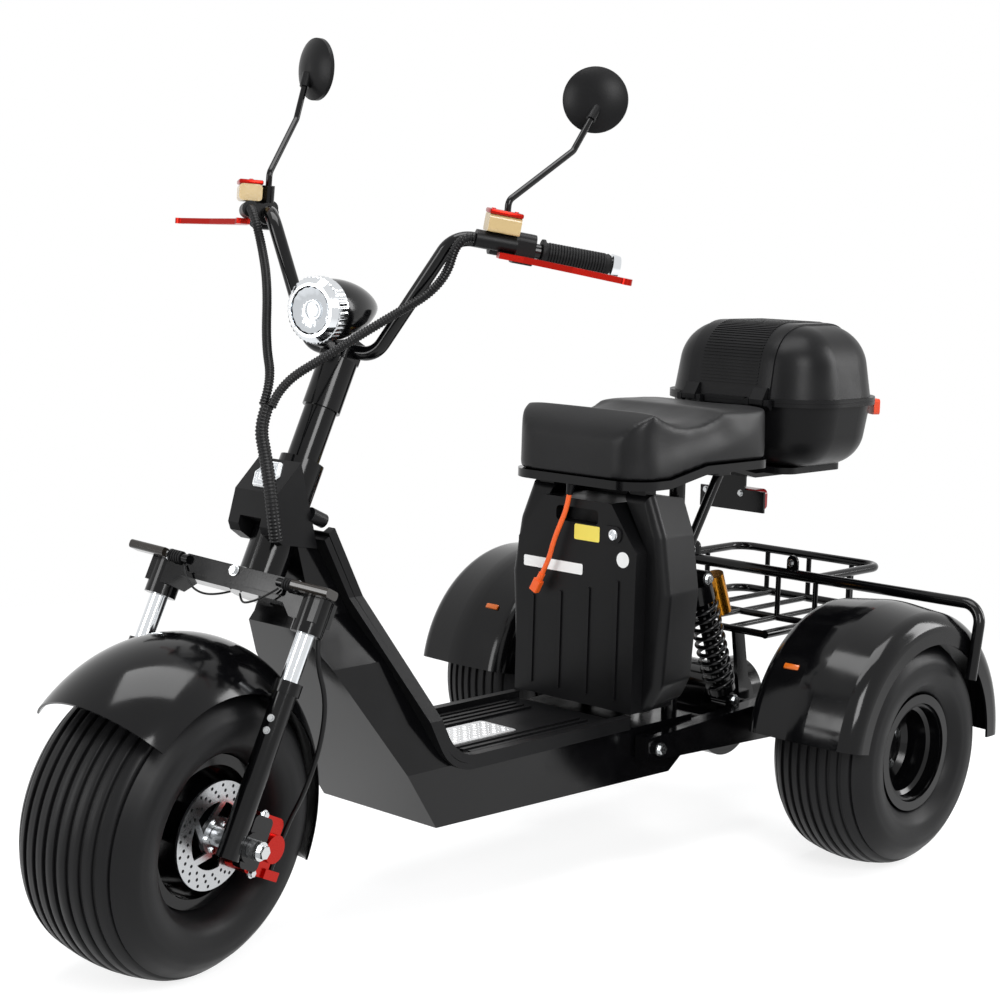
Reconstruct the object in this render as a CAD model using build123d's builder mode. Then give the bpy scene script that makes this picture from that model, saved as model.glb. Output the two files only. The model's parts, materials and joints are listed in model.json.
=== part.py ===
"""Three-wheeled electric scooter with fat tyres, a step-through frame, a rear rack and a top case.

Frame: +X forward, +Y to the rider's left, +Z up, origin on the ground under the middle of the
vehicle. Sizes are in millimetres. The fork stands turned a little to the left, as it is parked.
"""

import os
from math import atan2, cos, degrees, hypot, radians, sin, tan

from build123d import *

os.makedirs("parts", exist_ok=True)

# Wheels and stance
WHEELBASE = 1233
FRONT_AXLE_X = 680
REAR_TRACK = 790
FRONT_TYRE_R = 224
FRONT_TYRE_WIDTH = 226
FRONT_RIM_R = 113.5
FRONT_RIM_WIDTH = 140
REAR_TYRE_R = 205
REAR_TYRE_WIDTH = 200
REAR_RIM_R = 101
REAR_RIM_WIDTH = 166
TYRE_BEAD_DEPTH = 10
RIM_WALL = 5
RIM_LIP = 6
HUB_R = 30
FRONT_AXLE_R = 8
REAR_STUB_R = 15

# Clearances: between pieces that are bolted together, and between pieces that turn
SEAT_GAP = 0.3
TURN_GAP = 0.3
RUN_GAP = 5

# Steering geometry: the fork leans back by RAKE and stands ahead of the steering axis
RAKE = 25
FORK_OFFSET = 12
LEG_AHEAD = 24
STEER_AT_REST = 11
FORK_LEG_Y = 140
STANCHION_R = 13.5
LEG_R = 17
LEG_COLLAR_R = 21
LEG_TOP = 235
YOKE_LOW = 340
YOKE_HIGH = 373
YOKE_DEPTH = 44
CLAMP_R = 24
CLAMP_DROP = 34
HEAD_TUBE_LOW = YOKE_HIGH + RUN_GAP + 1
HEAD_TUBE_HIGH = 560
HEAD_TUBE_R = 34
COLUMN_R = 25
COLUMN_HIGH = 724
SLEEVE_LENGTH = 80
SLEEVE_R = 29.5

# Front brake and mudguard
DISC_R = 80
DISC_THICKNESS = 4
DISC_Y = 88
FENDER_WALL = 4
FRONT_FENDER_R = 270
FRONT_FENDER_EDGE_R = 208
FRONT_FENDER_FORE = 14
FRONT_FENDER_WIDTH = 238
FRONT_FENDER_AHEAD = 42
FRONT_FENDER_BEHIND = 113

# Handlebar and controls, measured in the upright frame of the bar clamp
BAR_R = 11
BAR_RISE = 190
BAR_FOOT_Y = 62
BAR_SHOULDER_Y = 173
BAR_LEAN = 20
BAR_SWEEP = 45
BAR_REACH = 238
BAR_DROOP = 25
BAR_BEND_R = 40
GRIP_R = 16
GRIP_LENGTH = 108
LAMP_R = 48
LAMP_UP = 62
LAMP_AHEAD = 85
LAMP_LENGTH = 150

# Frame, floor and seat pillar
SPINE_TOP_Z = 622
SPINE_REAR_X = 448
SPINE_TOP_HALF = 39
BELLY_LOW = 156
BELLY_HALF = 130
FLOOR_LOW = 238
FLOOR_WALL = 10
FLOOR_HALF = 137
PANEL_LIP = 14
BEND_R = 80
BELLY_REAR_X = -372
PILLAR_FRONT_X = -196
BATTERY_HALF = 135
BATTERY_DEPTH = 110
BATTERY_LOW = 264
BATTERY_SHOULDER = 540
BATTERY_HIGH = 620
COVER_FRONT_X = -224
COVER_REAR_X = -330
POST_X = -350
POST_Y = 96
POST_R = 14
PILLAR_TOP = 640

# Seat, carrier and top case
SEAT_FRONT_X = -172
SEAT_REAR_X = -572
SEAT_HALF = 152
TRAY_LOW = 648
TRAY_WALL = 15
TRAY_RISE = 18
SEAT_CROWN_Z = 776
CARRIER_LOW = 632
CARRIER_WALL = 8
CASE_FRONT_X = -610
CASE_LENGTH = 280
CASE_WIDTH = 360
CASE_CORNER_R = 105
CASE_LOW = 652
CASE_SEAM = 776
CASE_HIGH = 915
CASE_WALL = 4
CASE_FLANGE = 8
CASE_FLANGE_TALL = 7
CASE_TAPER = 9

# Rear end
PIVOT_X = -233
PIVOT_Z = 205
PIVOT_R = 10
ARM_Y = 150
ARM_WIDTH = 30
ARM_HEIGHT = 40
AXLE_TUBE_R = 28
SHOCK_Y = 112
SHOCK_EYE_HALF = 17
SHOCK_CUP_R = 26
SHOCK_HEAD_HALF = SHOCK_CUP_R + 0.5
SHOCK_TOP = (-392, 478)
SHOCK_FOOT = (-486, 246)
SPRING_R = 25
SPRING_WIRE_R = 4
SPRING_PITCH = 17
REAR_FENDER_R = 252
REAR_FENDER_SHOULDER_R = 240
REAR_FENDER_EDGE_R = 192
REAR_FENDER_HUB_R = 48
REAR_FENDER_IN = REAR_TRACK / 2 - REAR_TYRE_WIDTH / 2 - 9
REAR_FENDER_OUT = REAR_TRACK / 2 + REAR_TYRE_WIDTH / 2 + 7
REAR_FENDER_FRONT = 10
AXLE_TUBE_HALF = REAR_FENDER_IN - 2
RACK_LONG_R = 10
RACK_TUBE_R = 8
RACK_CROSS_R = 6.5
RACK_BAR_R = 5
RACK_FRONT_X = -682
RACK_REAR_X = -902
RACK_HALF = 168
RACK_TOP_Z = 452
RACK_FLOOR_Z = 366
RACK_FOOT_X = -528

REAR_AXLE_X = FRONT_AXLE_X - WHEELBASE
FRONT_AXLE_Z = FRONT_TYRE_R
REAR_AXLE_Z = REAR_TYRE_R
LEG_X = FORK_OFFSET + LEG_AHEAD
AXIS_X = FRONT_AXLE_X - FORK_OFFSET * cos(radians(RAKE))
AXIS_Z = FRONT_AXLE_Z - FORK_OFFSET * sin(radians(RAKE))

STRAIGHT = Plane(
    origin=(AXIS_X, 0, AXIS_Z),
    x_dir=(cos(radians(RAKE)), 0, sin(radians(RAKE))),
    z_dir=(-sin(radians(RAKE)), 0, cos(radians(RAKE))),
)
STEER = Plane(STRAIGHT.location * Location((0, 0, 0), (0, 0, STEER_AT_REST)))
BARS = Plane(STEER.location * Location((0, 0, COLUMN_HIGH + 17), (0, RAKE, 0)))


def keep(piece, name):
    """Label a finished piece and write it under its node's name."""
    piece.part.label = name
    export_step(piece.part, f"parts/{name}.step")


def fork_plane(base=Plane.XY, x=0, y=0, z=0, turn=0):
    """A work plane on the turned fork: x forward, y left, z up the steering axis."""
    return Plane(STEER.location * Location((x, y, z), (0, turn, 0)) * base.location)


def neck_plane(base=Plane.XY, x=0, y=0, z=0):
    """A work plane on the head tube, which doesn't turn with the fork."""
    return Plane(STRAIGHT.location * Location((x, y, z)) * base.location)


def bar_plane(base=Plane.XY, x=0, y=0, z=0):
    """A work plane on the upright frame of the bar clamp."""
    return Plane(BARS.location * Location((x, y, z)) * base.location)


def rear_hub(side):
    """The mid-plane of a rear wheel: x out along the axle, y up."""
    return Plane(
        origin=(REAR_AXLE_X, side * REAR_TRACK / 2, REAR_AXLE_Z),
        x_dir=(0, side, 0),
        z_dir=(side, 0, 0),
    )


def bend_radii(route):
    """The largest arc that fits each corner of a cord's route."""
    points = [Vector(*p) for p in route]
    radii = []
    for before, at, after in zip(points, points[1:], points[2:]):
        turn = (at - before).get_angle(after - at)
        shorter = min((at - before).length, (after - at).length)
        radii.append(0.45 * shorter / tan(radians(turn / 2)))
    return radii


def tyre_ring(hub, radius, width, rim_r, rim_width):
    """A tubeless tyre turned about its hub, with a nearly flat tread and round shoulders."""
    half = width / 2
    bead = rim_width / 2 - RIM_LIP - SEAT_GAP
    rise = radius - rim_r
    side = [(bead, rim_r - TYRE_BEAD_DEPTH), (bead, rim_r + 1.5)]
    flank = [(half, rim_r + 0.42 * rise), (half - 0.19 * half, rim_r + 0.78 * rise)]
    shoulder = [(half - 0.31 * half, radius - 12.5), (half - 0.5 * half, radius - 6)]
    with BuildPart() as ring:
        with BuildSketch(hub):
            with BuildLine():
                Line(side[0], side[1])
                ThreePointArc(side[1], *flank)
                ThreePointArc(flank[1], *shoulder)
                ThreePointArc(shoulder[1], (0, radius), (-shoulder[1][0], shoulder[1][1]))
                ThreePointArc(*[(-a, r) for a, r in (shoulder[1], shoulder[0], flank[1])])
                ThreePointArc(*[(-a, r) for a, r in (flank[1], flank[0], side[1])])
                Polyline(*[(-a, r) for a, r in (side[1], side[0])], side[0])
            make_face()
        revolve(axis=Axis(hub.origin, hub.x_dir))
    return ring


def dished_rim(hub, rim_r, rim_width, web, hub_from, hub_to, bore):
    """A pressed steel rim: lips, stepped barrel, one web and a bored hub."""
    half = rim_width / 2
    seat = rim_r - TYRE_BEAD_DEPTH - SEAT_GAP
    barrel = seat - RIM_WALL
    step = barrel - 9
    # Each ring of the section: from, to along the axle, inner and outer radius
    rings = [
        (-half, half, barrel, seat),
        (-half, -half + RIM_LIP, barrel, rim_r),
        (half - RIM_LIP, half, barrel, rim_r),
        (web - 22, web + 30, step, barrel + 1),
        (web - 4, web + 4, HUB_R - 1, step + 1),
        (hub_from, hub_to, bore, HUB_R),
    ]
    with BuildPart() as rim:
        with BuildSketch(hub):
            for start, end, inner, outer in rings:
                with Locations(((start + end) / 2, (inner + outer) / 2)):
                    Rectangle(end - start, outer - inner)
        revolve(axis=Axis(hub.origin, hub.x_dir))
    return rim


# Front wheel: tyre, rim and brake disc turn together on the fork's axle
front_hub = fork_plane(Plane.YZ, x=FORK_OFFSET)
front_hub_half = DISC_Y - DISC_THICKNESS / 2 - SEAT_GAP
front_tyre = tyre_ring(front_hub, FRONT_TYRE_R, FRONT_TYRE_WIDTH, FRONT_RIM_R, FRONT_RIM_WIDTH)
keep(front_tyre, "front_tyre")
front_rim = dished_rim(
    front_hub,
    FRONT_RIM_R,
    FRONT_RIM_WIDTH,
    0,
    -front_hub_half,
    front_hub_half,
    FRONT_AXLE_R + TURN_GAP,
)
keep(front_rim, "front_rim")

DISC_ARMS = 5
DISC_ARM_WIDTH = 10
DISC_HUB_R = 27
DISC_HOLES = 20
DISC_HOLE_R = 2.6
DISC_HOLE_ROWS = [(6, 0), (14, 6), (22, 12)]
with BuildPart() as brake_disc:
    with BuildSketch(fork_plane(Plane.XZ, x=FORK_OFFSET, y=DISC_Y)):
        Circle(DISC_R)
        Circle(DISC_R - 30, mode=Mode.SUBTRACT)
        Circle(DISC_HUB_R)
        with PolarLocations((DISC_HUB_R + DISC_R) / 2 - 14, DISC_ARMS):
            Rectangle(DISC_R - DISC_HUB_R - 10, DISC_ARM_WIDTH, rotation=38)
        Circle(FRONT_AXLE_R + 6, mode=Mode.SUBTRACT)
        # Drilled rows: distance from the rim, step round the disc
        for inset, phase in DISC_HOLE_ROWS:
            with PolarLocations(DISC_R - inset, DISC_HOLES, start_angle=phase):
                Circle(DISC_HOLE_R, mode=Mode.SUBTRACT)
    extrude(amount=DISC_THICKNESS / 2, both=True)
keep(brake_disc, "brake_disc")

# Rear wheels: deep rims whose web sits well inside, each on its own stub of the axle
REAR_WEB = -50
REAR_HUB_FROM = -80
REAR_HUB_TO = -32
for side, side_name in ((1, "left"), (-1, "right")):
    hub = rear_hub(side)
    tyre = tyre_ring(hub, REAR_TYRE_R, REAR_TYRE_WIDTH, REAR_RIM_R, REAR_RIM_WIDTH)
    keep(tyre, f"rear_tyre_{side_name}")
    rim = dished_rim(
        hub,
        REAR_RIM_R,
        REAR_RIM_WIDTH,
        REAR_WEB,
        REAR_HUB_FROM,
        REAR_HUB_TO,
        REAR_STUB_R + TURN_GAP,
    )
    keep(rim, f"rear_rim_{side_name}")

# Front axle: a through bolt with spacers and nuts
LEG_BOSS_HALF = LEG_R
with BuildPart() as front_axle:
    with BuildSketch(front_hub):
        reach = FORK_LEG_Y + LEG_BOSS_HALF
        with Locations((0, FRONT_AXLE_R / 2)):
            Rectangle(2 * (reach + 16), FRONT_AXLE_R)
        for side in (1, -1):
            spacer_from = DISC_Y + DISC_THICKNESS / 2 + 1
            spacer_to = FORK_LEG_Y - LEG_BOSS_HALF - SEAT_GAP
            with Locations((side * (spacer_from + spacer_to) / 2, 7)):
                Rectangle(spacer_to - spacer_from, 14)
            with Locations((side * (reach + SEAT_GAP + 6), 7)):
                Rectangle(12, 14)
    revolve(axis=Axis(front_hub.origin, front_hub.x_dir))
keep(front_axle, "front_axle")

# Fork: lower legs with axle bosses, chrome stanchions and a wide yoke that clamps them
LEG_FOOT = -24
LUG_REACH = 44
LUG_TALL = 78
LUG_WALL = 14
LUG_Y = FORK_LEG_Y - 8
CALIPER_UP = 8
STANCHION_FOOT = 120
with BuildPart() as fork_lowers:
    for side in (1, -1):
        with BuildSketch(fork_plane(x=LEG_X, y=side * FORK_LEG_Y, z=LEG_FOOT)):
            Circle(LEG_R)
        extrude(amount=LEG_TOP - LEG_FOOT)
        with BuildSketch(fork_plane(x=LEG_X, y=side * FORK_LEG_Y, z=LEG_TOP - 18)):
            Circle(LEG_COLLAR_R)
        extrude(amount=18)
        with BuildSketch(fork_plane(Plane.XZ, x=FORK_OFFSET, y=side * FORK_LEG_Y)):
            Circle(22)
        extrude(amount=LEG_BOSS_HALF, both=True)
    # Caliper lug behind the left leg
    with BuildSketch(fork_plane(Plane.XZ, x=FORK_OFFSET - LUG_REACH / 2, y=LUG_Y, z=CALIPER_UP)):
        RectangleRounded(LUG_REACH, LUG_TALL, 9)
    extrude(amount=-LUG_WALL)
    for side in (1, -1):
        with BuildSketch(fork_plane(x=LEG_X, y=side * FORK_LEG_Y, z=STANCHION_FOOT)):
            Circle(STANCHION_R + SEAT_GAP)
        extrude(amount=LEG_TOP, mode=Mode.SUBTRACT)
    with BuildSketch(fork_plane(Plane.XZ, x=FORK_OFFSET)):
        Circle(FRONT_AXLE_R + SEAT_GAP)
    extrude(amount=FORK_LEG_Y + 40, both=True, mode=Mode.SUBTRACT)
keep(fork_lowers, "fork_lowers")

STANCHION_HIGH = YOKE_HIGH - 12
with BuildPart() as fork_stanchions:
    for side in (1, -1):
        with BuildSketch(
            fork_plane(x=LEG_X, y=side * FORK_LEG_Y, z=STANCHION_FOOT + SEAT_GAP)
        ):
            Circle(STANCHION_R)
        extrude(amount=STANCHION_HIGH - STANCHION_FOOT - SEAT_GAP)
keep(fork_stanchions, "fork_stanchions")

YOKE_BACK = LEG_X - YOKE_DEPTH / 2
with BuildPart() as fork_yoke:
    with BuildSketch(fork_plane(Plane.YZ, x=YOKE_BACK)):
        end = FORK_LEG_Y + CLAMP_R - 4
        with BuildLine():
            Polyline(
                (-end, YOKE_LOW - CLAMP_DROP / 2),
                (-end, YOKE_HIGH - 14),
                (-end + 34, YOKE_HIGH),
                (end - 34, YOKE_HIGH),
                (end, YOKE_HIGH - 14),
                (end, YOKE_LOW - CLAMP_DROP / 2),
                (end - 44, YOKE_LOW - CLAMP_DROP / 2),
                (end - 62, YOKE_LOW),
                (62 - end, YOKE_LOW),
                (44 - end, YOKE_LOW - CLAMP_DROP / 2),
                close=True,
            )
        make_face()
    extrude(amount=YOKE_DEPTH)
    for side in (1, -1):
        with BuildSketch(fork_plane(x=LEG_X, y=side * FORK_LEG_Y, z=YOKE_LOW - CLAMP_DROP)):
            Circle(CLAMP_R)
        extrude(amount=YOKE_HIGH - 14 - YOKE_LOW + CLAMP_DROP)
        with BuildSketch(fork_plane(x=LEG_X, y=side * FORK_LEG_Y, z=YOKE_LOW - CLAMP_DROP)):
            Circle(STANCHION_R + SEAT_GAP)
        extrude(amount=STANCHION_HIGH + SEAT_GAP - YOKE_LOW + CLAMP_DROP, mode=Mode.SUBTRACT)
    with BuildSketch(fork_plane(z=YOKE_LOW)):
        Circle(COLUMN_R + 7)
    extrude(amount=YOKE_HIGH - YOKE_LOW)
keep(fork_yoke, "fork_yoke")

# Steering column: a tube from the yoke through the head tube, with a soft sleeve at its top
with BuildPart() as steering_column:
    with BuildSketch(fork_plane(z=YOKE_HIGH)):
        Circle(COLUMN_R)
    extrude(amount=COLUMN_HIGH - YOKE_HIGH)
    with BuildSketch(fork_plane(z=COLUMN_HIGH - SLEEVE_LENGTH)):
        Circle(SLEEVE_R)
    extrude(amount=SLEEVE_LENGTH)
keep(steering_column, "steering_column")

# Front mudguard: a crowned shell turned about the axle and bolted to both legs
guard_half = FRONT_FENDER_WIDTH / 2
guard_x = FORK_OFFSET + FRONT_FENDER_FORE
guard_plane = fork_plane(Plane.YZ, x=guard_x, turn=RAKE - FRONT_FENDER_BEHIND)
with BuildPart() as front_fender:
    with BuildSketch(guard_plane):
        with BuildLine():
            outer = ThreePointArc(
                (guard_half, FRONT_FENDER_EDGE_R),
                (0, FRONT_FENDER_R),
                (-guard_half, FRONT_FENDER_EDGE_R),
            )
            inner = ThreePointArc(
                (-guard_half + FENDER_WALL, FRONT_FENDER_EDGE_R),
                (0, FRONT_FENDER_R - FENDER_WALL),
                (guard_half - FENDER_WALL, FRONT_FENDER_EDGE_R),
            )
            Line(outer @ 1, inner @ 0)
            Line(inner @ 1, outer @ 0)
        make_face()
    revolve(
        axis=Axis(guard_plane.origin, guard_plane.x_dir),
        revolution_arc=FRONT_FENDER_AHEAD + FRONT_FENDER_BEHIND,
    )
    for side in (1, -1):
        boss_from = guard_half - 14
        boss_to = FORK_LEG_Y - LEG_R - SEAT_GAP
        with BuildSketch(fork_plane(Plane.XZ, x=LEG_X, y=side * boss_from, z=FRONT_FENDER_EDGE_R - 1)):
            Circle(8)
        extrude(amount=-side * (boss_to - boss_from))
keep(front_fender, "front_fender")

# Brake caliper: straddles the disc behind the left leg, bolts to the lug's inner face and shows its piston
CALIPER_TALL = 88
CALIPER_DEEP = 58
PISTON_R = 21
PISTON_PROUD = 8
BANJO_TALL = 14
caliper_x = FORK_OFFSET - LUG_REACH - PISTON_R - 2
caliper_out = LUG_Y - SEAT_GAP
caliper_in = FRONT_RIM_WIDTH / 2 + RUN_GAP
banjo_z = CALIPER_UP - CALIPER_TALL / 2 + BANJO_TALL
banjo_x = caliper_x - CALIPER_DEEP / 2 - 8
with BuildPart() as brake_caliper:
    with BuildSketch(fork_plane(Plane.XZ, x=caliper_x + 6, y=caliper_in, z=CALIPER_UP)):
        RectangleRounded(CALIPER_DEEP, CALIPER_TALL, 12)
    extrude(amount=caliper_in - caliper_out)
    with BuildSketch(fork_plane(Plane.XZ, x=caliper_x, y=caliper_out - 10, z=CALIPER_UP)):
        Circle(PISTON_R)
    extrude(amount=-(FORK_LEG_Y + PISTON_PROUD - caliper_out + 10))
    # Block that takes the brake hose
    with BuildSketch(fork_plane(Plane.XZ, x=banjo_x + 8, y=caliper_out - 16, z=banjo_z - BANJO_TALL / 2)):
        Rectangle(34, BANJO_TALL)
    extrude(amount=-20)
    with BuildSketch(fork_plane(Plane.XZ, x=FORK_OFFSET - DISC_R - RUN_GAP + 35, y=DISC_Y, z=CALIPER_UP)):
        Rectangle(70, CALIPER_TALL + 8)
    extrude(amount=DISC_THICKNESS / 2 + RUN_GAP, both=True, mode=Mode.SUBTRACT)
keep(brake_caliper, "brake_caliper")

# Turn signals: a flat bar across the yoke with slim lamps on rubber stalks
SIGNAL_BAR_HALF = 95
SIGNAL_BAR_WALL = 5
SIGNAL_STALK = 26
SIGNAL_LENGTH = 66
SIGNAL_DEEP = 28
SIGNAL_TALL = 13
signal_x = YOKE_BACK + YOKE_DEPTH
signal_z = YOKE_HIGH - 12
with BuildPart() as signal_bar:
    with BuildSketch(fork_plane(Plane.YZ, x=signal_x, z=signal_z)):
        RectangleRounded(2 * SIGNAL_BAR_HALF, 26, 5)
    extrude(amount=SIGNAL_BAR_WALL)
    for side in (1, -1):
        with BuildSketch(
            fork_plane(Plane.XZ, x=signal_x + 8, y=side * (SIGNAL_BAR_HALF - 10), z=signal_z + 4)
        ):
            Circle(6.5)
        extrude(amount=-side * (SIGNAL_STALK + 10))
keep(signal_bar, "signal_bar")
with BuildPart() as turn_signals:
    for side in (1, -1):
        stalk_end = SIGNAL_BAR_HALF + SIGNAL_STALK + SEAT_GAP
        lens_x = signal_x + SIGNAL_DEEP / 2 + SEAT_GAP
        with BuildSketch(fork_plane(Plane.XZ, x=lens_x, y=side * stalk_end, z=signal_z + 4)):
            RectangleRounded(SIGNAL_DEEP, SIGNAL_TALL, 5)
        extrude(amount=-side * SIGNAL_LENGTH)
keep(turn_signals, "turn_signals")

# Handlebar: one bent tube, low in the middle, with grips swept back
bar_out = BAR_SHOULDER_Y + BAR_REACH * cos(radians(BAR_SWEEP))
bar_back = -BAR_LEAN - BAR_REACH * sin(radians(BAR_SWEEP))
bar_side = [
    (bar_back, bar_out, BAR_RISE - BAR_DROOP),
    (-BAR_LEAN, BAR_SHOULDER_Y, BAR_RISE),
    (0, BAR_FOOT_Y, 0),
]
bar_route = bar_side + [(x, -y, z) for x, y, z in reversed(bar_side)]
with BuildPart() as handlebar:
    with BuildLine(BARS) as bar_line:
        FilletPolyline(*bar_route, radius=BAR_BEND_R)
    with BuildSketch(Plane(bar_line.line @ 0, z_dir=bar_line.line % 0)):
        Circle(BAR_R)
    sweep()
keep(handlebar, "handlebar")

CLAMP_HALF_Y = 26
with BuildPart() as bar_clamp:
    with BuildSketch(fork_plane(z=COLUMN_HIGH)):
        RectangleRounded(46, 2 * CLAMP_HALF_Y, 8)
    extrude(amount=34)
    # Lamp arm: two cheeks that rise ahead of the clamp to the lamp's underside
    with BuildSketch(bar_plane(Plane.XZ, y=0)):
        with BuildLine():
            lug_top = LAMP_UP - LAMP_R + 4
            Polyline((6, -14), (40, 6), (40, lug_top), (26, lug_top), (6, 12), close=True)
        make_face()
    extrude(amount=16, both=True)
    with BuildSketch(bar_plane(Plane.XZ)):
        Circle(BAR_R + SEAT_GAP)
    extrude(amount=CLAMP_HALF_Y + 10, both=True, mode=Mode.SUBTRACT)
    with BuildSketch(bar_plane(Plane.YZ, z=LAMP_UP, x=-40)):
        Circle(LAMP_R - 2 + SEAT_GAP)
    extrude(amount=140, mode=Mode.SUBTRACT)
keep(bar_clamp, "bar_clamp")

# Headlamp: a bullet shell with a bright fluted ring round the lens
lamp_axis = bar_plane(Plane.XZ, z=LAMP_UP)
ring_back = LAMP_AHEAD - 32
with BuildPart() as headlamp_shell:
    with BuildSketch(lamp_axis):
        with BuildLine():
            Line((ring_back, 0), (ring_back, LAMP_R - 2))
            ThreePointArc(
                (ring_back, LAMP_R - 2),
                (ring_back - 62, LAMP_R - 9),
                (LAMP_AHEAD - LAMP_LENGTH, 12),
            )
            Polyline((LAMP_AHEAD - LAMP_LENGTH, 12), (LAMP_AHEAD - LAMP_LENGTH, 0), (ring_back, 0))
        make_face()
    revolve(axis=Axis(lamp_axis.origin, lamp_axis.x_dir))
keep(headlamp_shell, "headlamp_shell")
with BuildPart() as headlamp_ring:
    with BuildSketch(lamp_axis):
        with BuildLine():
            Polyline(
                (ring_back + SEAT_GAP, 0),
                (ring_back + SEAT_GAP, LAMP_R),
                (LAMP_AHEAD - 8, LAMP_R),
                (LAMP_AHEAD, LAMP_R - 8),
                (LAMP_AHEAD, LAMP_R - 12),
                (LAMP_AHEAD - 8, LAMP_R - 14),
                (LAMP_AHEAD - 8, 0),
                close=True,
            )
        make_face()
    revolve(axis=Axis(lamp_axis.origin, lamp_axis.x_dir))
keep(headlamp_ring, "headlamp_ring")


def grip_plane(side, inward, up=0, ahead=0):
    """A work plane across a grip: z out along it, x up, y ahead on the left and back on the right."""
    end = Vector(bar_back, side * bar_out, BAR_RISE - BAR_DROOP)
    run = (end - Vector(-BAR_LEAN, side * BAR_SHOULDER_Y, BAR_RISE)).normalized()
    across = Vector(0, 0, 1).cross(run) * -side
    upright = (Vector(0, 0, 1) - run * Vector(0, 0, 1).dot(run)).normalized()
    place = end - run * inward + upright * up + across.normalized() * ahead
    local = Plane(origin=place, x_dir=upright, z_dir=run)
    return Plane(BARS.location * local.location)


CAP_LENGTH = 12
HOUSING_LENGTH = 30
PERCH_LENGTH = 34
housing_at = GRIP_LENGTH + CAP_LENGTH
perch_at = housing_at + HOUSING_LENGTH + 2
with BuildPart() as grips:
    for side in (1, -1):
        with BuildSketch(grip_plane(side, GRIP_LENGTH)):
            Circle(GRIP_R)
            Circle(BAR_R + SEAT_GAP, mode=Mode.SUBTRACT)
        extrude(amount=GRIP_LENGTH - 2)
keep(grips, "grips")
with BuildPart() as bar_ends:
    for side in (1, -1):
        with BuildSketch(grip_plane(side, -SEAT_GAP)):
            Circle(GRIP_R + 1)
        extrude(amount=CAP_LENGTH, taper=8)
keep(bar_ends, "bar_ends")
with BuildPart() as switch_housings:
    for side in (1, -1):
        with BuildSketch(grip_plane(side, housing_at + HOUSING_LENGTH)):
            RectangleRounded(46, 38, 12)
            Circle(BAR_R + SEAT_GAP, mode=Mode.SUBTRACT)
        extrude(amount=HOUSING_LENGTH)
keep(switch_housings, "switch_housings")

# Brake levers: perch with master cylinder, reservoir on top, bent blade ahead of the grip
PERCH_AHEAD = 30
RESERVOIR_LONG = 48
RESERVOIR_WIDE = 36
RESERVOIR_TALL = 26
with BuildPart() as master_cylinders:
    for side in (1, -1):
        with BuildSketch(grip_plane(side, perch_at + PERCH_LENGTH)):
            Circle(BAR_R + 6)
            with Locations((4, side * PERCH_AHEAD / 2)):
                Rectangle(22, PERCH_AHEAD)
            Circle(BAR_R + SEAT_GAP, mode=Mode.SUBTRACT)
        extrude(amount=PERCH_LENGTH)
        with BuildSketch(grip_plane(side, perch_at + PERCH_LENGTH + 28, up=4, ahead=PERCH_AHEAD)):
            Circle(13)
        extrude(amount=PERCH_LENGTH + 27)
keep(master_cylinders, "master_cylinders")
with BuildPart() as fluid_reservoirs:
    for side in (1, -1):
        with BuildSketch(
            grip_plane(side, perch_at + PERCH_LENGTH + 16, up=17.3 + RESERVOIR_TALL / 2, ahead=PERCH_AHEAD)
        ):
            RectangleRounded(RESERVOIR_TALL, RESERVOIR_WIDE, 6)
        extrude(amount=RESERVOIR_LONG)
keep(fluid_reservoirs, "fluid_reservoirs")
LEVER_TIP_AHEAD = 121
with BuildPart() as brake_levers:
    for side in (1, -1):
        blade = grip_plane(side, perch_at + 12, up=-14, ahead=PERCH_AHEAD + 6)
        # The blade lies level: along the grip, then out ahead of it
        level = Plane(origin=blade.origin, x_dir=blade.z_dir, z_dir=blade.x_dir)
        ahead = LEVER_TIP_AHEAD - PERCH_AHEAD
        with BuildSketch(level):
            with BuildLine():
                Polyline(
                    (-14, side * 9),
                    (26, side * 9),
                    (90, -side * (0.45 * ahead - 6)),
                    (158, -side * (ahead - 5)),
                    (158, -side * (ahead + 5)),
                    (88, -side * (0.45 * ahead + 7)),
                    (22, -side * 12),
                    (-14, -side * 12),
                    close=True,
                )
            make_face()
            with Locations((158, -side * ahead)):
                Circle(8)
        extrude(amount=4.5, both=True)
keep(brake_levers, "brake_levers")

# Mirrors: stalks screwed into the perches, heads turned by hand, so each side has its own place
MIRROR_STALK_R = 5
MIRROR_R = 50
MIRROR_DEPTH = 20
MIRROR_KNOB = 24
# side, then the head's place from the stalk's foot: back, out, up, and the head's turn
MIRROR_PLACES = [(1, 172, 22, 173, 25), (-1, 108, 30, 184, -20)]
mirror_ends = []
with BuildPart() as mirror_stalks:
    for side, back, out, up, turn in MIRROR_PLACES:
        foot = BARS.to_local_coords(grip_plane(side, perch_at + 13, up=19).origin)
        with BuildLine(BARS) as stalk_line:
            FilletPolyline(
                tuple(foot),
                tuple(foot + Vector(0, 0, 46)),
                tuple(foot + Vector(-0.8 * back, side * 0.8 * out, 0.72 * up)),
                tuple(foot + Vector(-back, side * out, up)),
                radius=14,
            )
        with BuildSketch(Plane(stalk_line.line @ 0, z_dir=stalk_line.line % 0)):
            Circle(MIRROR_STALK_R)
        sweep()
        with BuildSketch(Plane(stalk_line.line @ 0, z_dir=stalk_line.line % 0)):
            Circle(10)
        extrude(amount=26)
        centre = foot + Vector(-back - MIRROR_STALK_R, side * out, up + 30)
        head = Plane(BARS.location * Location(centre, (0, 0, turn)) * Plane.XZ.location)
        mirror_ends.append((stalk_line.line @ 1, stalk_line.line % 1, head))
keep(mirror_stalks, "mirror_stalks")
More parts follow.
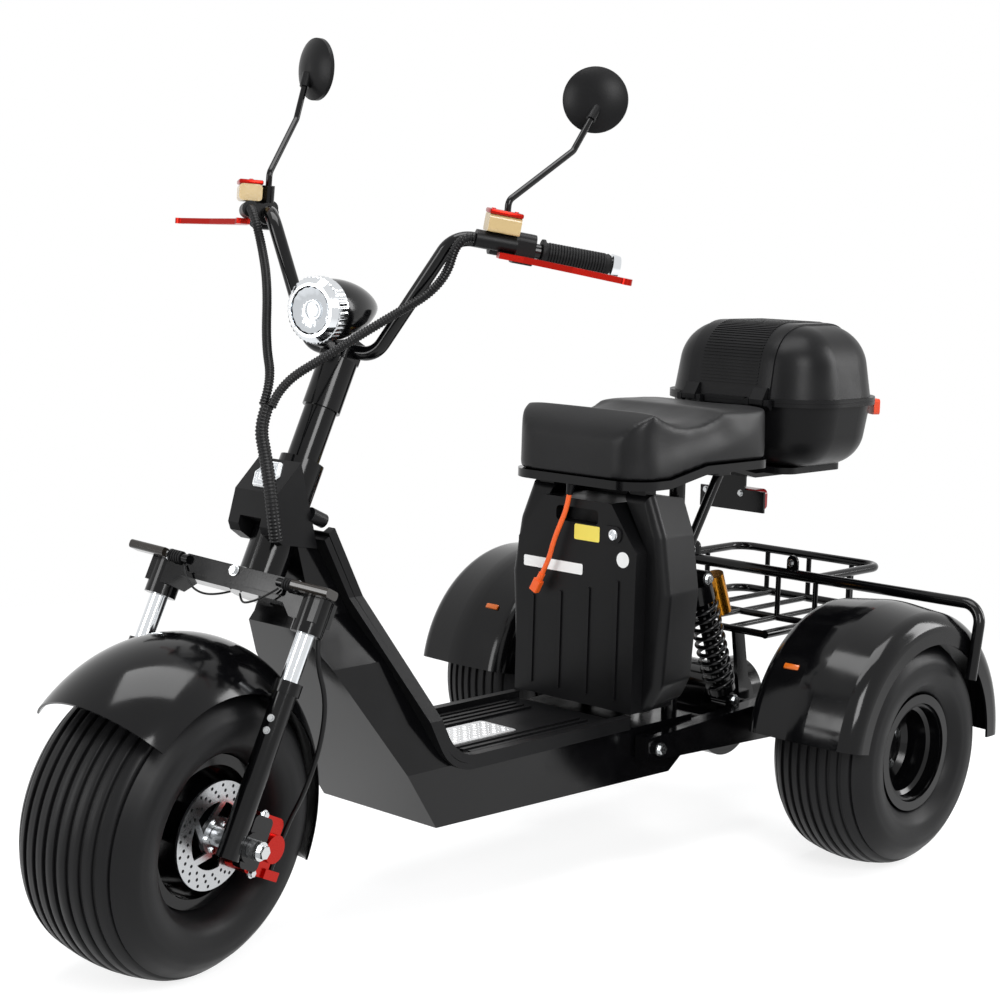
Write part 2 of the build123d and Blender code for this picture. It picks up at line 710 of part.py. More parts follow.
with BuildPart() as mirror_heads:
    for tip, lean, head in mirror_ends:
        with BuildSketch(head):
            with BuildLine():
                Polyline((-MIRROR_DEPTH, 0), (-MIRROR_DEPTH, MIRROR_R), (-MIRROR_DEPTH + 7, MIRROR_R))
                ThreePointArc((-MIRROR_DEPTH + 7, MIRROR_R), (-4, MIRROR_R * 0.62), (0, 9))
                Polyline((0, 9), (0, 0), (-MIRROR_DEPTH, 0))
            make_face()
        revolve(axis=Axis(head.origin, head.x_dir))
        # Ball socket that takes the stalk's end
        with BuildSketch(Plane(tip + lean * SEAT_GAP, z_dir=lean)):
            Circle(MIRROR_STALK_R + 3)
        extrude(amount=MIRROR_KNOB)
keep(mirror_heads, "mirror_heads")

# Cables: two looms hang from the perches and meet ahead of the column; a hose runs down to the caliper
CABLE_R = 7
TRUNK_R = 10
HOSE_R = 3.5
CABLE_AHEAD = 104
CABLE_FOOT = 606
CABLE_MID_Y = -13
# side, then the route on the fork: ahead of the axis, left of it, up the axis
CABLE_ROUTES = [
    (1, [(38, 168, 852), (70, 108, 773), (94, 54, 702), (CABLE_AHEAD, CABLE_MID_Y + 8, 642)]),
    (-1, [(66, -166, 867), (81, -113, 799), (95, -64, 701), (CABLE_AHEAD, CABLE_MID_Y - 8, 645)]),
]
hose_y = caliper_out - 6
hose_top = YOKE_LOW - CLAMP_DROP - SEAT_GAP
hose_route = [
    (LEG_X - 17, FORK_LEG_Y + 11, hose_top),
    (LEG_X - 24, FORK_LEG_Y + 17, hose_top - 32),
    (-22, FORK_LEG_Y + 30, 230),
    (-38, FORK_LEG_Y + 36, 165),
    (-60, FORK_LEG_Y + 20, 95),
    (banjo_x, hose_y, 42),
    (banjo_x, hose_y, banjo_z + SEAT_GAP),
]
with BuildPart() as bar_cables:
    for side, route in CABLE_ROUTES:
        end = grip_plane(side, perch_at + PERCH_LENGTH + 28, up=4, ahead=PERCH_AHEAD)
        points = [tuple(end.origin - end.z_dir * reach) for reach in (SEAT_GAP, 26)]
        points += [tuple(fork_plane(x=x, y=y, z=z).origin) for x, y, z in route]
        points.append(tuple(fork_plane(x=route[-1][0], y=route[-1][1], z=CABLE_FOOT).origin))
        with BuildLine() as cable_line:
            FilletPolyline(*points, radius=bend_radii(points))
        with BuildSketch(Plane(cable_line.line @ 0, z_dir=cable_line.line % 0)):
            Circle(CABLE_R)
        sweep()
    points = [tuple(fork_plane(x=x, y=y, z=z).origin) for x, y, z in hose_route]
    with BuildLine() as hose_line:
        FilletPolyline(*points, radius=bend_radii(points))
    with BuildSketch(Plane(hose_line.line @ 0, z_dir=hose_line.line % 0)):
        Circle(HOSE_R)
    sweep()
keep(bar_cables, "bar_cables")

# Frame: head tube, tapering sheet-steel spine, belly box under the floor and two rear posts
neck_back = COLUMN_R + 7 + RUN_GAP
head_foot = STRAIGHT.from_local_coords(Vector(-neck_back - 9, 0, HEAD_TUBE_LOW + 10))
yoke_back = STRAIGHT.from_local_coords(Vector(-neck_back - 18, 0, YOKE_LOW - 22))
slope = 0.549
rear_top_x = SPINE_REAR_X
floor_corner_x = rear_top_x - slope * (SPINE_TOP_Z - FLOOR_LOW)
spine_front_x = 262
with BuildPart() as main_frame:
    with BuildSketch(Plane.XZ):
        with BuildLine():
            FilletPolyline(
                (rear_top_x, SPINE_TOP_Z),
                (floor_corner_x, FLOOR_LOW),
                (BELLY_REAR_X, FLOOR_LOW),
                radius=BEND_R + FLOOR_WALL / 2 + SEAT_GAP,
            )
            Polyline(
                (BELLY_REAR_X, FLOOR_LOW),
                (BELLY_REAR_X, BELLY_LOW + 30),
                (BELLY_REAR_X + 60, BELLY_LOW - 12),
                (spine_front_x, BELLY_LOW),
                (yoke_back.X, yoke_back.Z),
                (head_foot.X, head_foot.Z),
                (rear_top_x + 30, SPINE_TOP_Z),
                (rear_top_x, SPINE_TOP_Z),
            )
        make_face()
    extrude(amount=BELLY_HALF, both=True)
    # Seen from ahead the spine narrows towards the head tube
    with BuildSketch(Plane.YZ):
        with BuildLine():
            right_side = [
                (BELLY_HALF, 0),
                (BELLY_HALF, FLOOR_LOW + 12),
                (0.68 * BELLY_HALF, yoke_back.Z - 60),
                (50, yoke_back.Z + 14),
                (SPINE_TOP_HALF, SPINE_TOP_Z + 1),
            ]
            Polyline(*right_side, *[(-y, z) for y, z in reversed(right_side)], close=True)
        make_face()
    extrude(amount=1000, both=True, mode=Mode.INTERSECT)
    with BuildSketch(neck_plane(z=HEAD_TUBE_LOW)):
        Circle(HEAD_TUBE_R)
    extrude(amount=HEAD_TUBE_HIGH - HEAD_TUBE_LOW)
    with BuildSketch(neck_plane(z=HEAD_TUBE_LOW - 60)):
        Circle(COLUMN_R + TURN_GAP)
    extrude(amount=HEAD_TUBE_HIGH - HEAD_TUBE_LOW + 120, mode=Mode.SUBTRACT)
    with BuildSketch(Plane.XY.offset(FLOOR_LOW - 20)):
        with Locations((POST_X, POST_Y), (POST_X, -POST_Y)):
            Circle(POST_R)
    extrude(amount=TRAY_LOW - SEAT_GAP - FLOOR_LOW + 20)
    with BuildSketch(Plane.XZ):
        with Locations((PIVOT_X, PIVOT_Z)):
            Circle(PIVOT_R + SEAT_GAP)
    extrude(amount=BELLY_HALF + 10, both=True, mode=Mode.SUBTRACT)
    # Ears that hold the shocks' upper eyes behind the posts
    with BuildSketch(Plane.XZ):
        with BuildLine():
            Polyline(
                (POST_X, SHOCK_TOP[1] - 26),
                (SHOCK_TOP[0] - 10, SHOCK_TOP[1] - 12),
                (SHOCK_TOP[0] - 10, SHOCK_TOP[1] + 12),
                (POST_X, SHOCK_TOP[1] + 30),
                close=True,
            )
        make_face()
    extrude(amount=SHOCK_Y - SHOCK_HEAD_HALF - SEAT_GAP, both=True)
    with BuildSketch(Plane.XZ):
        with Locations((POST_X - 60, SHOCK_TOP[1])):
            Rectangle(130, 120)
    extrude(amount=SHOCK_Y - 34, both=True, mode=Mode.SUBTRACT)
keep(main_frame, "main_frame")

# Neck shroud: two cheeks and a lamp nose that cap the spine ahead of the column, with a key switch behind
SHROUD_HALF = 48
SHROUD_WALL = 6
ARCH_HALF = 24
KEY_R = 11
KEY_UP = 484
KEY_LENGTH = 30
LAMP_TOP = (42, 546)
LAMP_FOOT = (64, 488)
# The side view in the head tube's frame: ahead of the axis, up the axis
shroud_side = [LAMP_TOP, LAMP_FOOT, (54, 430), (22, 424), (-44, 442)]
shroud_points = [STRAIGHT.from_local_coords(Vector(x, 0, z)) for x, z in shroud_side]
with BuildPart() as neck_shroud:
    with BuildSketch(Plane.XZ):
        with BuildLine():
            Polyline(*[(p.X, p.Z) for p in shroud_points], close=True)
        make_face()
    extrude(amount=SHROUD_HALF, both=True)
    chamfer(neck_shroud.edges().filter_by(Axis.Y).sort_by(Axis.X)[-1:], length=8)
    with BuildSketch(neck_plane(Plane.XZ, x=24, z=410)):
        Rectangle(84, 80)
    extrude(amount=ARCH_HALF, both=True, mode=Mode.SUBTRACT)
    with BuildSketch(neck_plane(Plane.XZ, x=-42, z=420)):
        Rectangle(84, 90)
    extrude(amount=SHROUD_HALF - SHROUD_WALL, both=True, mode=Mode.SUBTRACT)
    with BuildSketch(neck_plane(z=HEAD_TUBE_LOW - 40)):
        Circle(HEAD_TUBE_R + SEAT_GAP)
    extrude(amount=400, mode=Mode.SUBTRACT)
    with BuildSketch(neck_plane(Plane.YZ, x=-10, y=SHROUD_HALF - 4, z=KEY_UP)):
        Circle(KEY_R)
    extrude(amount=-KEY_LENGTH)
keep(neck_shroud, "neck_shroud")

# Neck lamp: a six-sided white lens on the shroud's slanted face
NECK_LAMP_R = 27
face_run = (LAMP_FOOT[0] - LAMP_TOP[0], LAMP_FOOT[1] - LAMP_TOP[1])
lamp_face = Plane(
    origin=((LAMP_TOP[0] + LAMP_FOOT[0]) / 2, 0, (LAMP_TOP[1] + LAMP_FOOT[1]) / 2),
    x_dir=(0, 1, 0),
    z_dir=(-face_run[1], 0, face_run[0]),
)
with BuildPart() as neck_lamp:
    with BuildSketch(Plane(STRAIGHT.location * lamp_face.offset(SEAT_GAP).location)):
        RegularPolygon(NECK_LAMP_R, 6)
    extrude(amount=4, taper=12)
keep(neck_lamp, "neck_lamp")

# Cable trunk: takes both looms down past the lamp and along the shroud's left cheek
trunk_top = STRAIGHT.to_local_coords(
    fork_plane(x=CABLE_AHEAD, y=CABLE_MID_Y, z=CABLE_FOOT - SEAT_GAP).origin
)
trunk_y = SHROUD_HALF + TRUNK_R + SEAT_GAP
trunk_route = [
    tuple(trunk_top),
    (trunk_top.X, trunk_top.Y, CABLE_FOOT - 32),
    (92, 24, 538),
    (84, 46, 498),
    (72, trunk_y + 1, 460),
    (46, trunk_y, 424),
]
with BuildPart() as cable_trunk:
    points = [tuple(neck_plane(x=x, y=y, z=z).origin) for x, y, z in trunk_route]
    with BuildLine() as trunk_line:
        FilletPolyline(*points, radius=bend_radii(points))
    with BuildSketch(Plane(trunk_line.line @ 0, z_dir=trunk_line.line % 0)):
        Circle(TRUNK_R)
    sweep()
keep(cable_trunk, "cable_trunk")

# Inner panel: the plastic floor that runs down the spine and back to the pillar, with raised lips
half_wall = FLOOR_WALL / 2 + SEAT_GAP
panel_line = [
    (rear_top_x - 8, SPINE_TOP_Z - 4),
    (floor_corner_x - 3, FLOOR_LOW + half_wall),
    (PILLAR_FRONT_X + 2, FLOOR_LOW + half_wall),
]


def panel_block(thickness, rise, half_low, half_high):
    """The panel's side profile, cut to its outline as seen from ahead."""
    with BuildPart() as block:
        with BuildSketch(Plane.XZ) as profile:
            with BuildLine():
                FilletPolyline(*[(x - 0.87 * rise, z + rise) for x, z in panel_line[:1]],
                               (panel_line[1][0] - 0.55 * rise, panel_line[1][1] + rise),
                               (panel_line[2][0], panel_line[2][1] + rise), radius=BEND_R)
            trace(line_width=thickness)
        extrude(amount=half_low, both=True)
        with BuildSketch(Plane.YZ):
            with BuildLine():
                outline = [
                    (half_low, 0),
                    (half_low, FLOOR_LOW + 90),
                    (half_high, yoke_back.Z + 40),
                    (half_high, SPINE_TOP_Z + 60),
                ]
                Polyline(*outline, *[(-y, z) for y, z in reversed(outline)], close=True)
            make_face()
        extrude(amount=1000, both=True, mode=Mode.INTERSECT)
    return block


PANEL_NECK_HALF = 66
panel_lips = panel_block(PANEL_LIP, FLOOR_WALL / 2 + PANEL_LIP / 2 - 1, FLOOR_HALF, PANEL_NECK_HALF)
hollow_up = FLOOR_WALL / 2 + PANEL_LIP / 2 + 4
panel_hollow = panel_block(PANEL_LIP + 8, hollow_up, FLOOR_HALF - 16, PANEL_NECK_HALF - 14)
panel_floor = panel_block(FLOOR_WALL, 0, FLOOR_HALF, PANEL_NECK_HALF)
with BuildPart() as inner_panel:
    add(panel_floor.part)
    add(panel_lips.part)
    add(panel_hollow.part, mode=Mode.SUBTRACT)
    with BuildSketch(neck_plane(z=HEAD_TUBE_LOW - 80)):
        Circle(HEAD_TUBE_R + SEAT_GAP)
    extrude(amount=400, mode=Mode.SUBTRACT)
    floor_top = FLOOR_LOW + SEAT_GAP + FLOOR_WALL
    with BuildSketch(Plane.XY.offset(floor_top - 1)):
        for y in (56, 74, 92, 110):
            for side in (1, -1):
                with Locations(((floor_corner_x - 60 + PILLAR_FRONT_X) / 2 + 10, side * y)):
                    Rectangle(floor_corner_x - PILLAR_FRONT_X - 130, 8)
    extrude(amount=5)
keep(inner_panel, "inner_panel")

with BuildPart() as tread_plate:
    with BuildSketch(Plane.XY.offset(floor_top)):
        with Locations((floor_corner_x - 156, 0)):
            RectangleRounded(190, 84, 8)
    extrude(amount=2)
keep(tread_plate, "tread_plate")

# Battery: a slab that slides into the pillar from ahead, with a handle recess and pressed ribs
with BuildPart() as battery:
    with BuildSketch(Plane.YZ.offset(PILLAR_FRONT_X - BATTERY_DEPTH)):
        with BuildLine():
            half_outline = [
                (BATTERY_HALF, BATTERY_LOW),
                (BATTERY_HALF, BATTERY_SHOULDER),
                (BATTERY_HALF * 0.56, BATTERY_HIGH),
            ]
            Polyline(*half_outline, *[(-y, z) for y, z in reversed(half_outline)], close=True)
        make_face()
    extrude(amount=BATTERY_DEPTH)
    with BuildSketch(Plane.YZ.offset(PILLAR_FRONT_X)):
        with Locations((0, BATTERY_HIGH - 28)):
            RectangleRounded(96, 26, 8)
    extrude(amount=-30, mode=Mode.SUBTRACT)
    with BuildSketch(Plane.YZ.offset(PILLAR_FRONT_X - 1)):
        for y, top in ((-96, 440), (-32, 455), (32, 470), (96, 490)):
            with Locations((y, (BATTERY_LOW + 18 + top) / 2)):
                RectangleRounded(7, top - BATTERY_LOW - 18, 3)
    extrude(amount=4)
keep(battery, "battery")

# Pillar cover: a bulging shell round the battery, as seen from ahead
COVER_TAPER = 8
cover_outline = [(96, 249), (146, 262), (170, 310), (181, 470), (165, 570), (136, PILLAR_TOP)]
with BuildPart() as pillar_cover:
    with BuildSketch(Plane(origin=(COVER_FRONT_X, 0, 0), x_dir=(0, -1, 0), z_dir=(-1, 0, 0))):
        with BuildLine():
            Polyline(*cover_outline, *[(-y, z) for y, z in reversed(cover_outline)], close=True)
        make_face()
        fillet(vertices().filter_by_position(Axis.Y, 255, 600), radius=36)
    extrude(amount=COVER_FRONT_X - COVER_REAR_X, taper=COVER_TAPER)
    fillet(edges().group_by(Axis.X)[-1], radius=16)
    with BuildSketch(Plane.YZ.offset(COVER_FRONT_X + 1)):
        with BuildLine():
            pocket = [(y + SEAT_GAP, z) for y, z in half_outline]
            pocket[0] = (pocket[0][0], BATTERY_LOW - SEAT_GAP)
            pocket[2] = (pocket[2][0], PILLAR_TOP + 1)
            Polyline(*pocket, *[(-y, z) for y, z in reversed(pocket)], close=True)
        make_face()
    extrude(amount=COVER_REAR_X - COVER_FRONT_X + 14, mode=Mode.SUBTRACT)
    for side in (1, -1):
        with BuildSketch(Plane.XY.offset(PILLAR_TOP - 6)):
            with Locations((COVER_FRONT_X - 22, side * 104)):
                Rectangle(28, 34)
        extrude(amount=TRAY_LOW - SEAT_GAP - PILLAR_TOP + 6)
keep(pillar_cover, "pillar_cover")

# Seat: a glossy tray that steps up behind the pillar, and one stepped cushion on it
tray_profile = [
    (SEAT_FRONT_X, 0),
    (SEAT_FRONT_X - 90, 0),
    (SEAT_FRONT_X - 190, TRAY_RISE),
    (SEAT_REAR_X, TRAY_RISE),
]


def seat_plan(inset, low, high):
    """The seat's outline from above, as a cutter between two heights."""
    with BuildPart() as plan:
        with BuildSketch(Plane.XY.offset(low)):
            with Locations(((SEAT_FRONT_X + SEAT_REAR_X) / 2, 0)):
                RectangleRounded(SEAT_FRONT_X - SEAT_REAR_X - 2 * inset, 2 * (SEAT_HALF - inset), 58)
        extrude(amount=high - low)
    return plan


with BuildPart() as seat_base:
    with BuildSketch(Plane.XZ):
        with BuildLine():
            Polyline(
                *[(x, TRAY_LOW + z) for x, z in tray_profile],
                *[(x, TRAY_LOW + TRAY_WALL + z) for x, z in reversed(tray_profile)],
                close=True,
            )
        make_face()
    extrude(amount=SEAT_HALF, both=True)
    add(seat_plan(0, TRAY_LOW - 10, SEAT_CROWN_Z).part, mode=Mode.INTERSECT)
keep(seat_base, "seat_base")
with BuildPart() as seat_cushion:
    with BuildSketch(Plane.XZ):
        with BuildLine():
            cushion_low = TRAY_LOW + TRAY_WALL + SEAT_GAP
            Polyline(*[(x, cushion_low + z) for x, z in tray_profile], (SEAT_REAR_X, SEAT_CROWN_Z - 26))
            ThreePointArc(
                (SEAT_REAR_X, SEAT_CROWN_Z - 26),
                (SEAT_REAR_X + 12, SEAT_CROWN_Z - 10),
                (SEAT_REAR_X + 40, SEAT_CROWN_Z - 6),
            )
            Line((SEAT_REAR_X + 40, SEAT_CROWN_Z - 6), (SEAT_REAR_X + 160, SEAT_CROWN_Z - 4))
            ThreePointArc(
                (SEAT_REAR_X + 160, SEAT_CROWN_Z - 4),
                (SEAT_REAR_X + 250, SEAT_CROWN_Z - 26),
                (SEAT_REAR_X + 350, SEAT_CROWN_Z),
            )
            ThreePointArc(
                (SEAT_REAR_X + 350, SEAT_CROWN_Z),
                (SEAT_FRONT_X - 14, SEAT_CROWN_Z - 24),
                (SEAT_FRONT_X, SEAT_CROWN_Z - 62),
            )
            Line((SEAT_FRONT_X, SEAT_CROWN_Z - 62), (SEAT_FRONT_X, cushion_low))
        make_face()
    extrude(amount=SEAT_HALF, both=True)
    add(seat_plan(3, TRAY_LOW - 10, SEAT_CROWN_Z + 10).part, mode=Mode.INTERSECT)
keep(seat_cushion, "seat_cushion")

# Seat struts: two tubes from the rear posts up to the tray
STRUT_R = 9
STRUT_Y = POST_Y + POST_R + STRUT_R + SEAT_GAP
strut_foot = Vector(POST_X + 2, 0, 520)
strut_head = Vector(-436, 0, TRAY_LOW + TRAY_RISE - SEAT_GAP)
with BuildPart() as seat_struts:
    for side in (1, -1):
        foot = strut_foot + Vector(0, side * STRUT_Y, 0)
        head = strut_head + Vector(0, side * STRUT_Y, -8)
        with BuildSketch(Plane(foot, z_dir=head - foot)):
            Circle(STRUT_R)
        extrude(amount=(head - foot).length)
        with BuildSketch(Plane.XY.offset(strut_head.Z - 8)):
            with Locations((strut_head.X, side * STRUT_Y)):
                RectangleRounded(44, 26, 6)
        extrude(amount=8)
keep(seat_struts, "seat_struts")

# Case carrier: a bent plate from under the tray back beneath the case
case_mid_x = CASE_FRONT_X - CASE_LENGTH / 2
tray_under = TRAY_LOW + TRAY_RISE - SEAT_GAP
with BuildPart() as case_carrier:
    with BuildSketch(Plane.XZ):
        with BuildLine():
            plate = [
                (SEAT_REAR_X + 150, tray_under - CARRIER_WALL),
                (SEAT_REAR_X + 50, tray_under - CARRIER_WALL),
                (CASE_FRONT_X - 20, CARRIER_LOW),
                (CASE_FRONT_X - CASE_LENGTH + 40, CARRIER_LOW),
            ]
            Polyline(*plate, *[(x, z + CARRIER_WALL) for x, z in reversed(plate)], close=True)
        make_face()
    extrude(amount=58, both=True)
keep(case_carrier, "case_carrier")
with BuildPart() as case_base:
    with BuildSketch(Plane.XY.offset(CARRIER_LOW + CARRIER_WALL)):
        with Locations((case_mid_x, 0)):
            RectangleRounded(190, 220, 30)
    extrude(amount=CASE_LOW - CARRIER_LOW - CARRIER_WALL)
keep(case_base, "case_base")

# Top case: a hollow tub and a domed lid with a raised band, flanged at the seam and hinged at the seat side
TUB_CROWN_R = 68
LID_CROWN_R = 84
CASE_BAND = 3
CASE_BAND_HALF = 95
HINGE_R = 3
HINGE_Y = 78
HINGE_NOTCH = 64
tub_seam = CASE_SEAM - SEAT_GAP


def case_bowl(seam, up, inset, depth, crown_r):
    """A closed bowl from the seam's outline, tapered, with a rounded far end."""
    with BuildPart() as bowl:
        with BuildSketch(Plane(origin=(case_mid_x, 0, seam), z_dir=(0, 0, up))):
            RectangleRounded(CASE_LENGTH - 2 * inset, CASE_WIDTH - 2 * inset, CASE_CORNER_R - inset)
        extrude(amount=depth - inset, taper=CASE_TAPER)
        fillet(bowl.faces().sort_by(Axis.Z)[-1 if up > 0 else 0].edges(), radius=crown_r - inset)
    return bowl.part


def case_flange(low):
    """The rim at the seam, notched where the hinges sit."""
    with BuildPart() as flange:
        with BuildSketch(Plane.XY.offset(low)):
            with Locations((case_mid_x, 0)):
                RectangleRounded(
                    CASE_LENGTH + 2 * CASE_FLANGE, CASE_WIDTH + 2 * CASE_FLANGE, CASE_CORNER_R + CASE_FLANGE
                )
            notch_x = CASE_FRONT_X + CASE_BAND + 10
            with Locations((notch_x, HINGE_Y), (notch_x, -HINGE_Y)):
                Rectangle(24, HINGE_NOTCH, mode=Mode.SUBTRACT)
        extrude(amount=CASE_FLANGE_TALL)
    return flange.part


with BuildPart() as case_tub:
    add(case_bowl(tub_seam, -1, 0, tub_seam - CASE_LOW, TUB_CROWN_R))
    add(case_flange(tub_seam - CASE_FLANGE_TALL))
    add(case_bowl(tub_seam, -1, CASE_WALL, tub_seam - CASE_LOW, TUB_CROWN_R), mode=Mode.SUBTRACT)
keep(case_tub, "case_tub")
with BuildPart() as lid_band:
    add(case_bowl(CASE_SEAM, 1, -CASE_BAND, CASE_HIGH - CASE_SEAM, LID_CROWN_R))
    Box(3 * WHEELBASE, 2 * CASE_BAND_HALF, 3 * WHEELBASE, mode=Mode.INTERSECT)
with BuildPart() as case_lid:
    add(case_bowl(CASE_SEAM, 1, 0, CASE_HIGH - CASE_SEAM, LID_CROWN_R))
    add(lid_band.part)
    add(case_flange(CASE_SEAM))
    add(case_bowl(CASE_SEAM, 1, CASE_WALL, CASE_HIGH - CASE_SEAM, LID_CROWN_R), mode=Mode.SUBTRACT)
keep(case_lid, "case_lid")

# Case hinge: a pin in ears on the tub, with the lid's knuckles round it
hinge_seat = CASE_FRONT_X + CASE_BAND + SEAT_GAP
HINGE_X = hinge_seat + 7.7
HINGE_Z = CASE_SEAM
KNUCKLE_TALL = 26
knuckle_top = (hinge_seat - KNUCKLE_TALL * tan(radians(CASE_TAPER)), HINGE_Z + KNUCKLE_TALL)
with BuildPart() as case_hinges:
    for side in (1, -1):
        with BuildSketch(Plane.XZ.offset(-side * HINGE_Y)):
            with Locations((HINGE_X, HINGE_Z)):
                Circle(HINGE_R)
        extrude(amount=26, both=True)
        for place in (-22, 22):
            with BuildSketch(Plane.XZ.offset(-side * HINGE_Y - place)):
                with BuildLine():
                    Polyline(
                        (hinge_seat, HINGE_Z - 14),
                        (hinge_seat, HINGE_Z - 3),
                        (HINGE_X - 5, HINGE_Z + 5),
                        (HINGE_X + 5, HINGE_Z + 5),
                        (HINGE_X + 5, HINGE_Z - 6),
                        (hinge_seat + 4, HINGE_Z - 14),
                        close=True,
                    )
                make_face()
            extrude(amount=5, both=True)
keep(case_hinges, "case_hinges")
with BuildPart() as lid_knuckles:
    for side in (1, -1):
        with BuildSketch(Plane.XZ.offset(-side * HINGE_Y)):
            with BuildLine():
                Polyline(
                    (hinge_seat, HINGE_Z + 3),
                    knuckle_top,
                    (knuckle_top[0] + 4, knuckle_top[1]),
                    (HINGE_X + 6, HINGE_Z + 5),
                    (HINGE_X + 6, HINGE_Z - 4),
                    (HINGE_X - 4, HINGE_Z - 5),
                    close=True,
                )
            make_face()
            with Locations((HINGE_X, HINGE_Z)):
                Circle(HINGE_R + TURN_GAP, mode=Mode.SUBTRACT)
        extrude(amount=15, both=True)
keep(lid_knuckles, "lid_knuckles")

# Latch: a bright catch on the tub's rear left corner
LATCH_TURN = 35
LATCH_WIDE = 38
LATCH_TALL = 30
latch_out = Vector(-cos(radians(LATCH_TURN)), sin(radians(LATCH_TURN)), 0)
latch_corner = Vector(
    CASE_FRONT_X - CASE_LENGTH + CASE_CORNER_R, CASE_WIDTH / 2 - CASE_CORNER_R, CASE_SEAM - LATCH_TALL / 2
)
latch_at = latch_corner + latch_out * (CASE_CORNER_R + CASE_FLANGE + SEAT_GAP)
with BuildPart() as case_latch:
    with BuildSketch(Plane(latch_at, x_dir=(0, 0, 1), z_dir=latch_out)):
        RectangleRounded(LATCH_TALL, LATCH_WIDE, 6)
    extrude(amount=12)
keep(case_latch, "case_latch")

# Tail bracket and lamp under the carrier
TAIL_X = CASE_FRONT_X - 32
with BuildPart() as tail_bracket:
    with BuildSketch(Plane.YZ.offset(TAIL_X)):
        with BuildLine():
            Polyline(
                (-30, CARRIER_LOW - SEAT_GAP),
                (30, CARRIER_LOW - SEAT_GAP),
                (30, 606),
                (74, 606),
                (74, 566),
                (-74, 566),
                (-74, 606),
                (-30, 606),
                close=True,
            )
        make_face()
    extrude(amount=5)
keep(tail_bracket, "tail_bracket")
with BuildPart() as tail_lamp:
    with BuildSketch(Plane.YZ.offset(TAIL_X - SEAT_GAP)):
        with Locations((0, 588)):
            RectangleRounded(120, 40, 10)
    extrude(amount=-26)
keep(tail_lamp, "tail_lamp")

# Swing frame: two arms from the belly pivot to the axle, tied by a cross tube
with BuildPart() as swing_frame:
    with BuildSketch(Plane.XZ):
        with BuildLine():
            Polyline(
                (PIVOT_X + 22, PIVOT_Z - ARM_HEIGHT / 2),
                (PIVOT_X + 22, PIVOT_Z + ARM_HEIGHT / 2),
                (REAR_AXLE_X - 44, REAR_AXLE_Z + ARM_HEIGHT / 2 + 16),
                (REAR_AXLE_X - 44, REAR_AXLE_Z - ARM_HEIGHT / 2 - 16),
                close=True,
            )
        make_face()
    extrude(amount=ARM_Y + ARM_WIDTH / 2, both=True)
    with BuildSketch(Plane.XZ):
        with Locations(((PIVOT_X + REAR_AXLE_X) / 2, PIVOT_Z)):
            Rectangle(800, 300)
    extrude(amount=ARM_Y - ARM_WIDTH / 2, both=True, mode=Mode.SUBTRACT)
    with BuildSketch(Plane.XZ):
        with Locations((SHOCK_FOOT[0] + 40, REAR_AXLE_Z)):
            Circle(13)
    extrude(amount=ARM_Y - 4, both=True)
    with BuildSketch(Plane.XZ):
        with Locations((PIVOT_X, PIVOT_Z)):
            Circle(PIVOT_R)
    extrude(amount=ARM_Y + ARM_WIDTH / 2 + 8, both=True)
    # Shock feet on the arms' inner sides
    for side in (1, -1):
        with BuildSketch(Plane.XZ.offset(-side * (SHOCK_Y + SHOCK_EYE_HALF + SEAT_GAP))):
            with Locations((SHOCK_FOOT[0], SHOCK_FOOT[1] - 14)):
                RectangleRounded(30, 40, 8)
        extrude(amount=-side * 8)
    with BuildSketch(Plane.XZ):
        with Locations((REAR_AXLE_X, REAR_AXLE_Z)):
            Circle(AXLE_TUBE_R + SEAT_GAP)
    extrude(amount=ARM_Y + 60, both=True, mode=Mode.SUBTRACT)
keep(swing_frame, "swing_frame")

# Rear axle: tubes, end flanges, stubs for the wheels, and the drive unit as one plain block
DRIVE_R = 84
FLANGE_R = 66
stub_reach = REAR_TRACK / 2 + REAR_HUB_TO
guard_inside = REAR_FENDER_IN - FENDER_WALL / 2
# Each ring of the axle on one side: from, to along the axle, radius
axle_rings = [
    (0, 72, DRIVE_R),
    (70, 92, DRIVE_R - 26),
    (90, AXLE_TUBE_HALF - 14, AXLE_TUBE_R),
    (AXLE_TUBE_HALF - 16, guard_inside - SEAT_GAP, FLANGE_R),
    (guard_inside - 2, REAR_TRACK / 2 + REAR_HUB_FROM - 1, REAR_STUB_R + 7),
    (REAR_TRACK / 2 + REAR_HUB_FROM - 3, stub_reach + 18, REAR_STUB_R),
    (stub_reach + 1, stub_reach + 15, REAR_STUB_R + 8),
]
axle_line = Plane(origin=(REAR_AXLE_X, 0, REAR_AXLE_Z), x_dir=(0, 1, 0), z_dir=(1, 0, 0))
with BuildPart() as rear_axle:
    with BuildSketch(axle_line):
        for start, end, radius in axle_rings:
            for side in (1, -1):
                with Locations((side * (start + end) / 2, radius / 2)):
                    Rectangle(end - start, radius)
    revolve(axis=Axis(axle_line.origin, axle_line.x_dir))
    with BuildSketch(Plane.YZ.offset(REAR_AXLE_X)):
        with Locations((-34, REAR_AXLE_Z)):
            Circle(62)
    extrude(amount=-170)
keep(rear_axle, "rear_axle")

# Shocks: eyes, bodies, coil springs and reservoirs
shock_lean = degrees(atan2(SHOCK_TOP[0] - SHOCK_FOOT[0], SHOCK_TOP[1] - SHOCK_FOOT[1]))
shock_length = hypot(SHOCK_TOP[0] - SHOCK_FOOT[0], SHOCK_TOP[1] - SHOCK_FOOT[1])
SPRING_FOOT = 30
SPRING_HEAD = 46
spring_length = shock_length - SPRING_FOOT - SPRING_HEAD


def shock_plane(side, up):
    """A work plane across a shock, up its own axis from the lower eye."""
    foot = Location((SHOCK_FOOT[0], side * SHOCK_Y, SHOCK_FOOT[1]), (0, shock_lean, 0))
    return Plane(foot * Location((0, 0, up)))


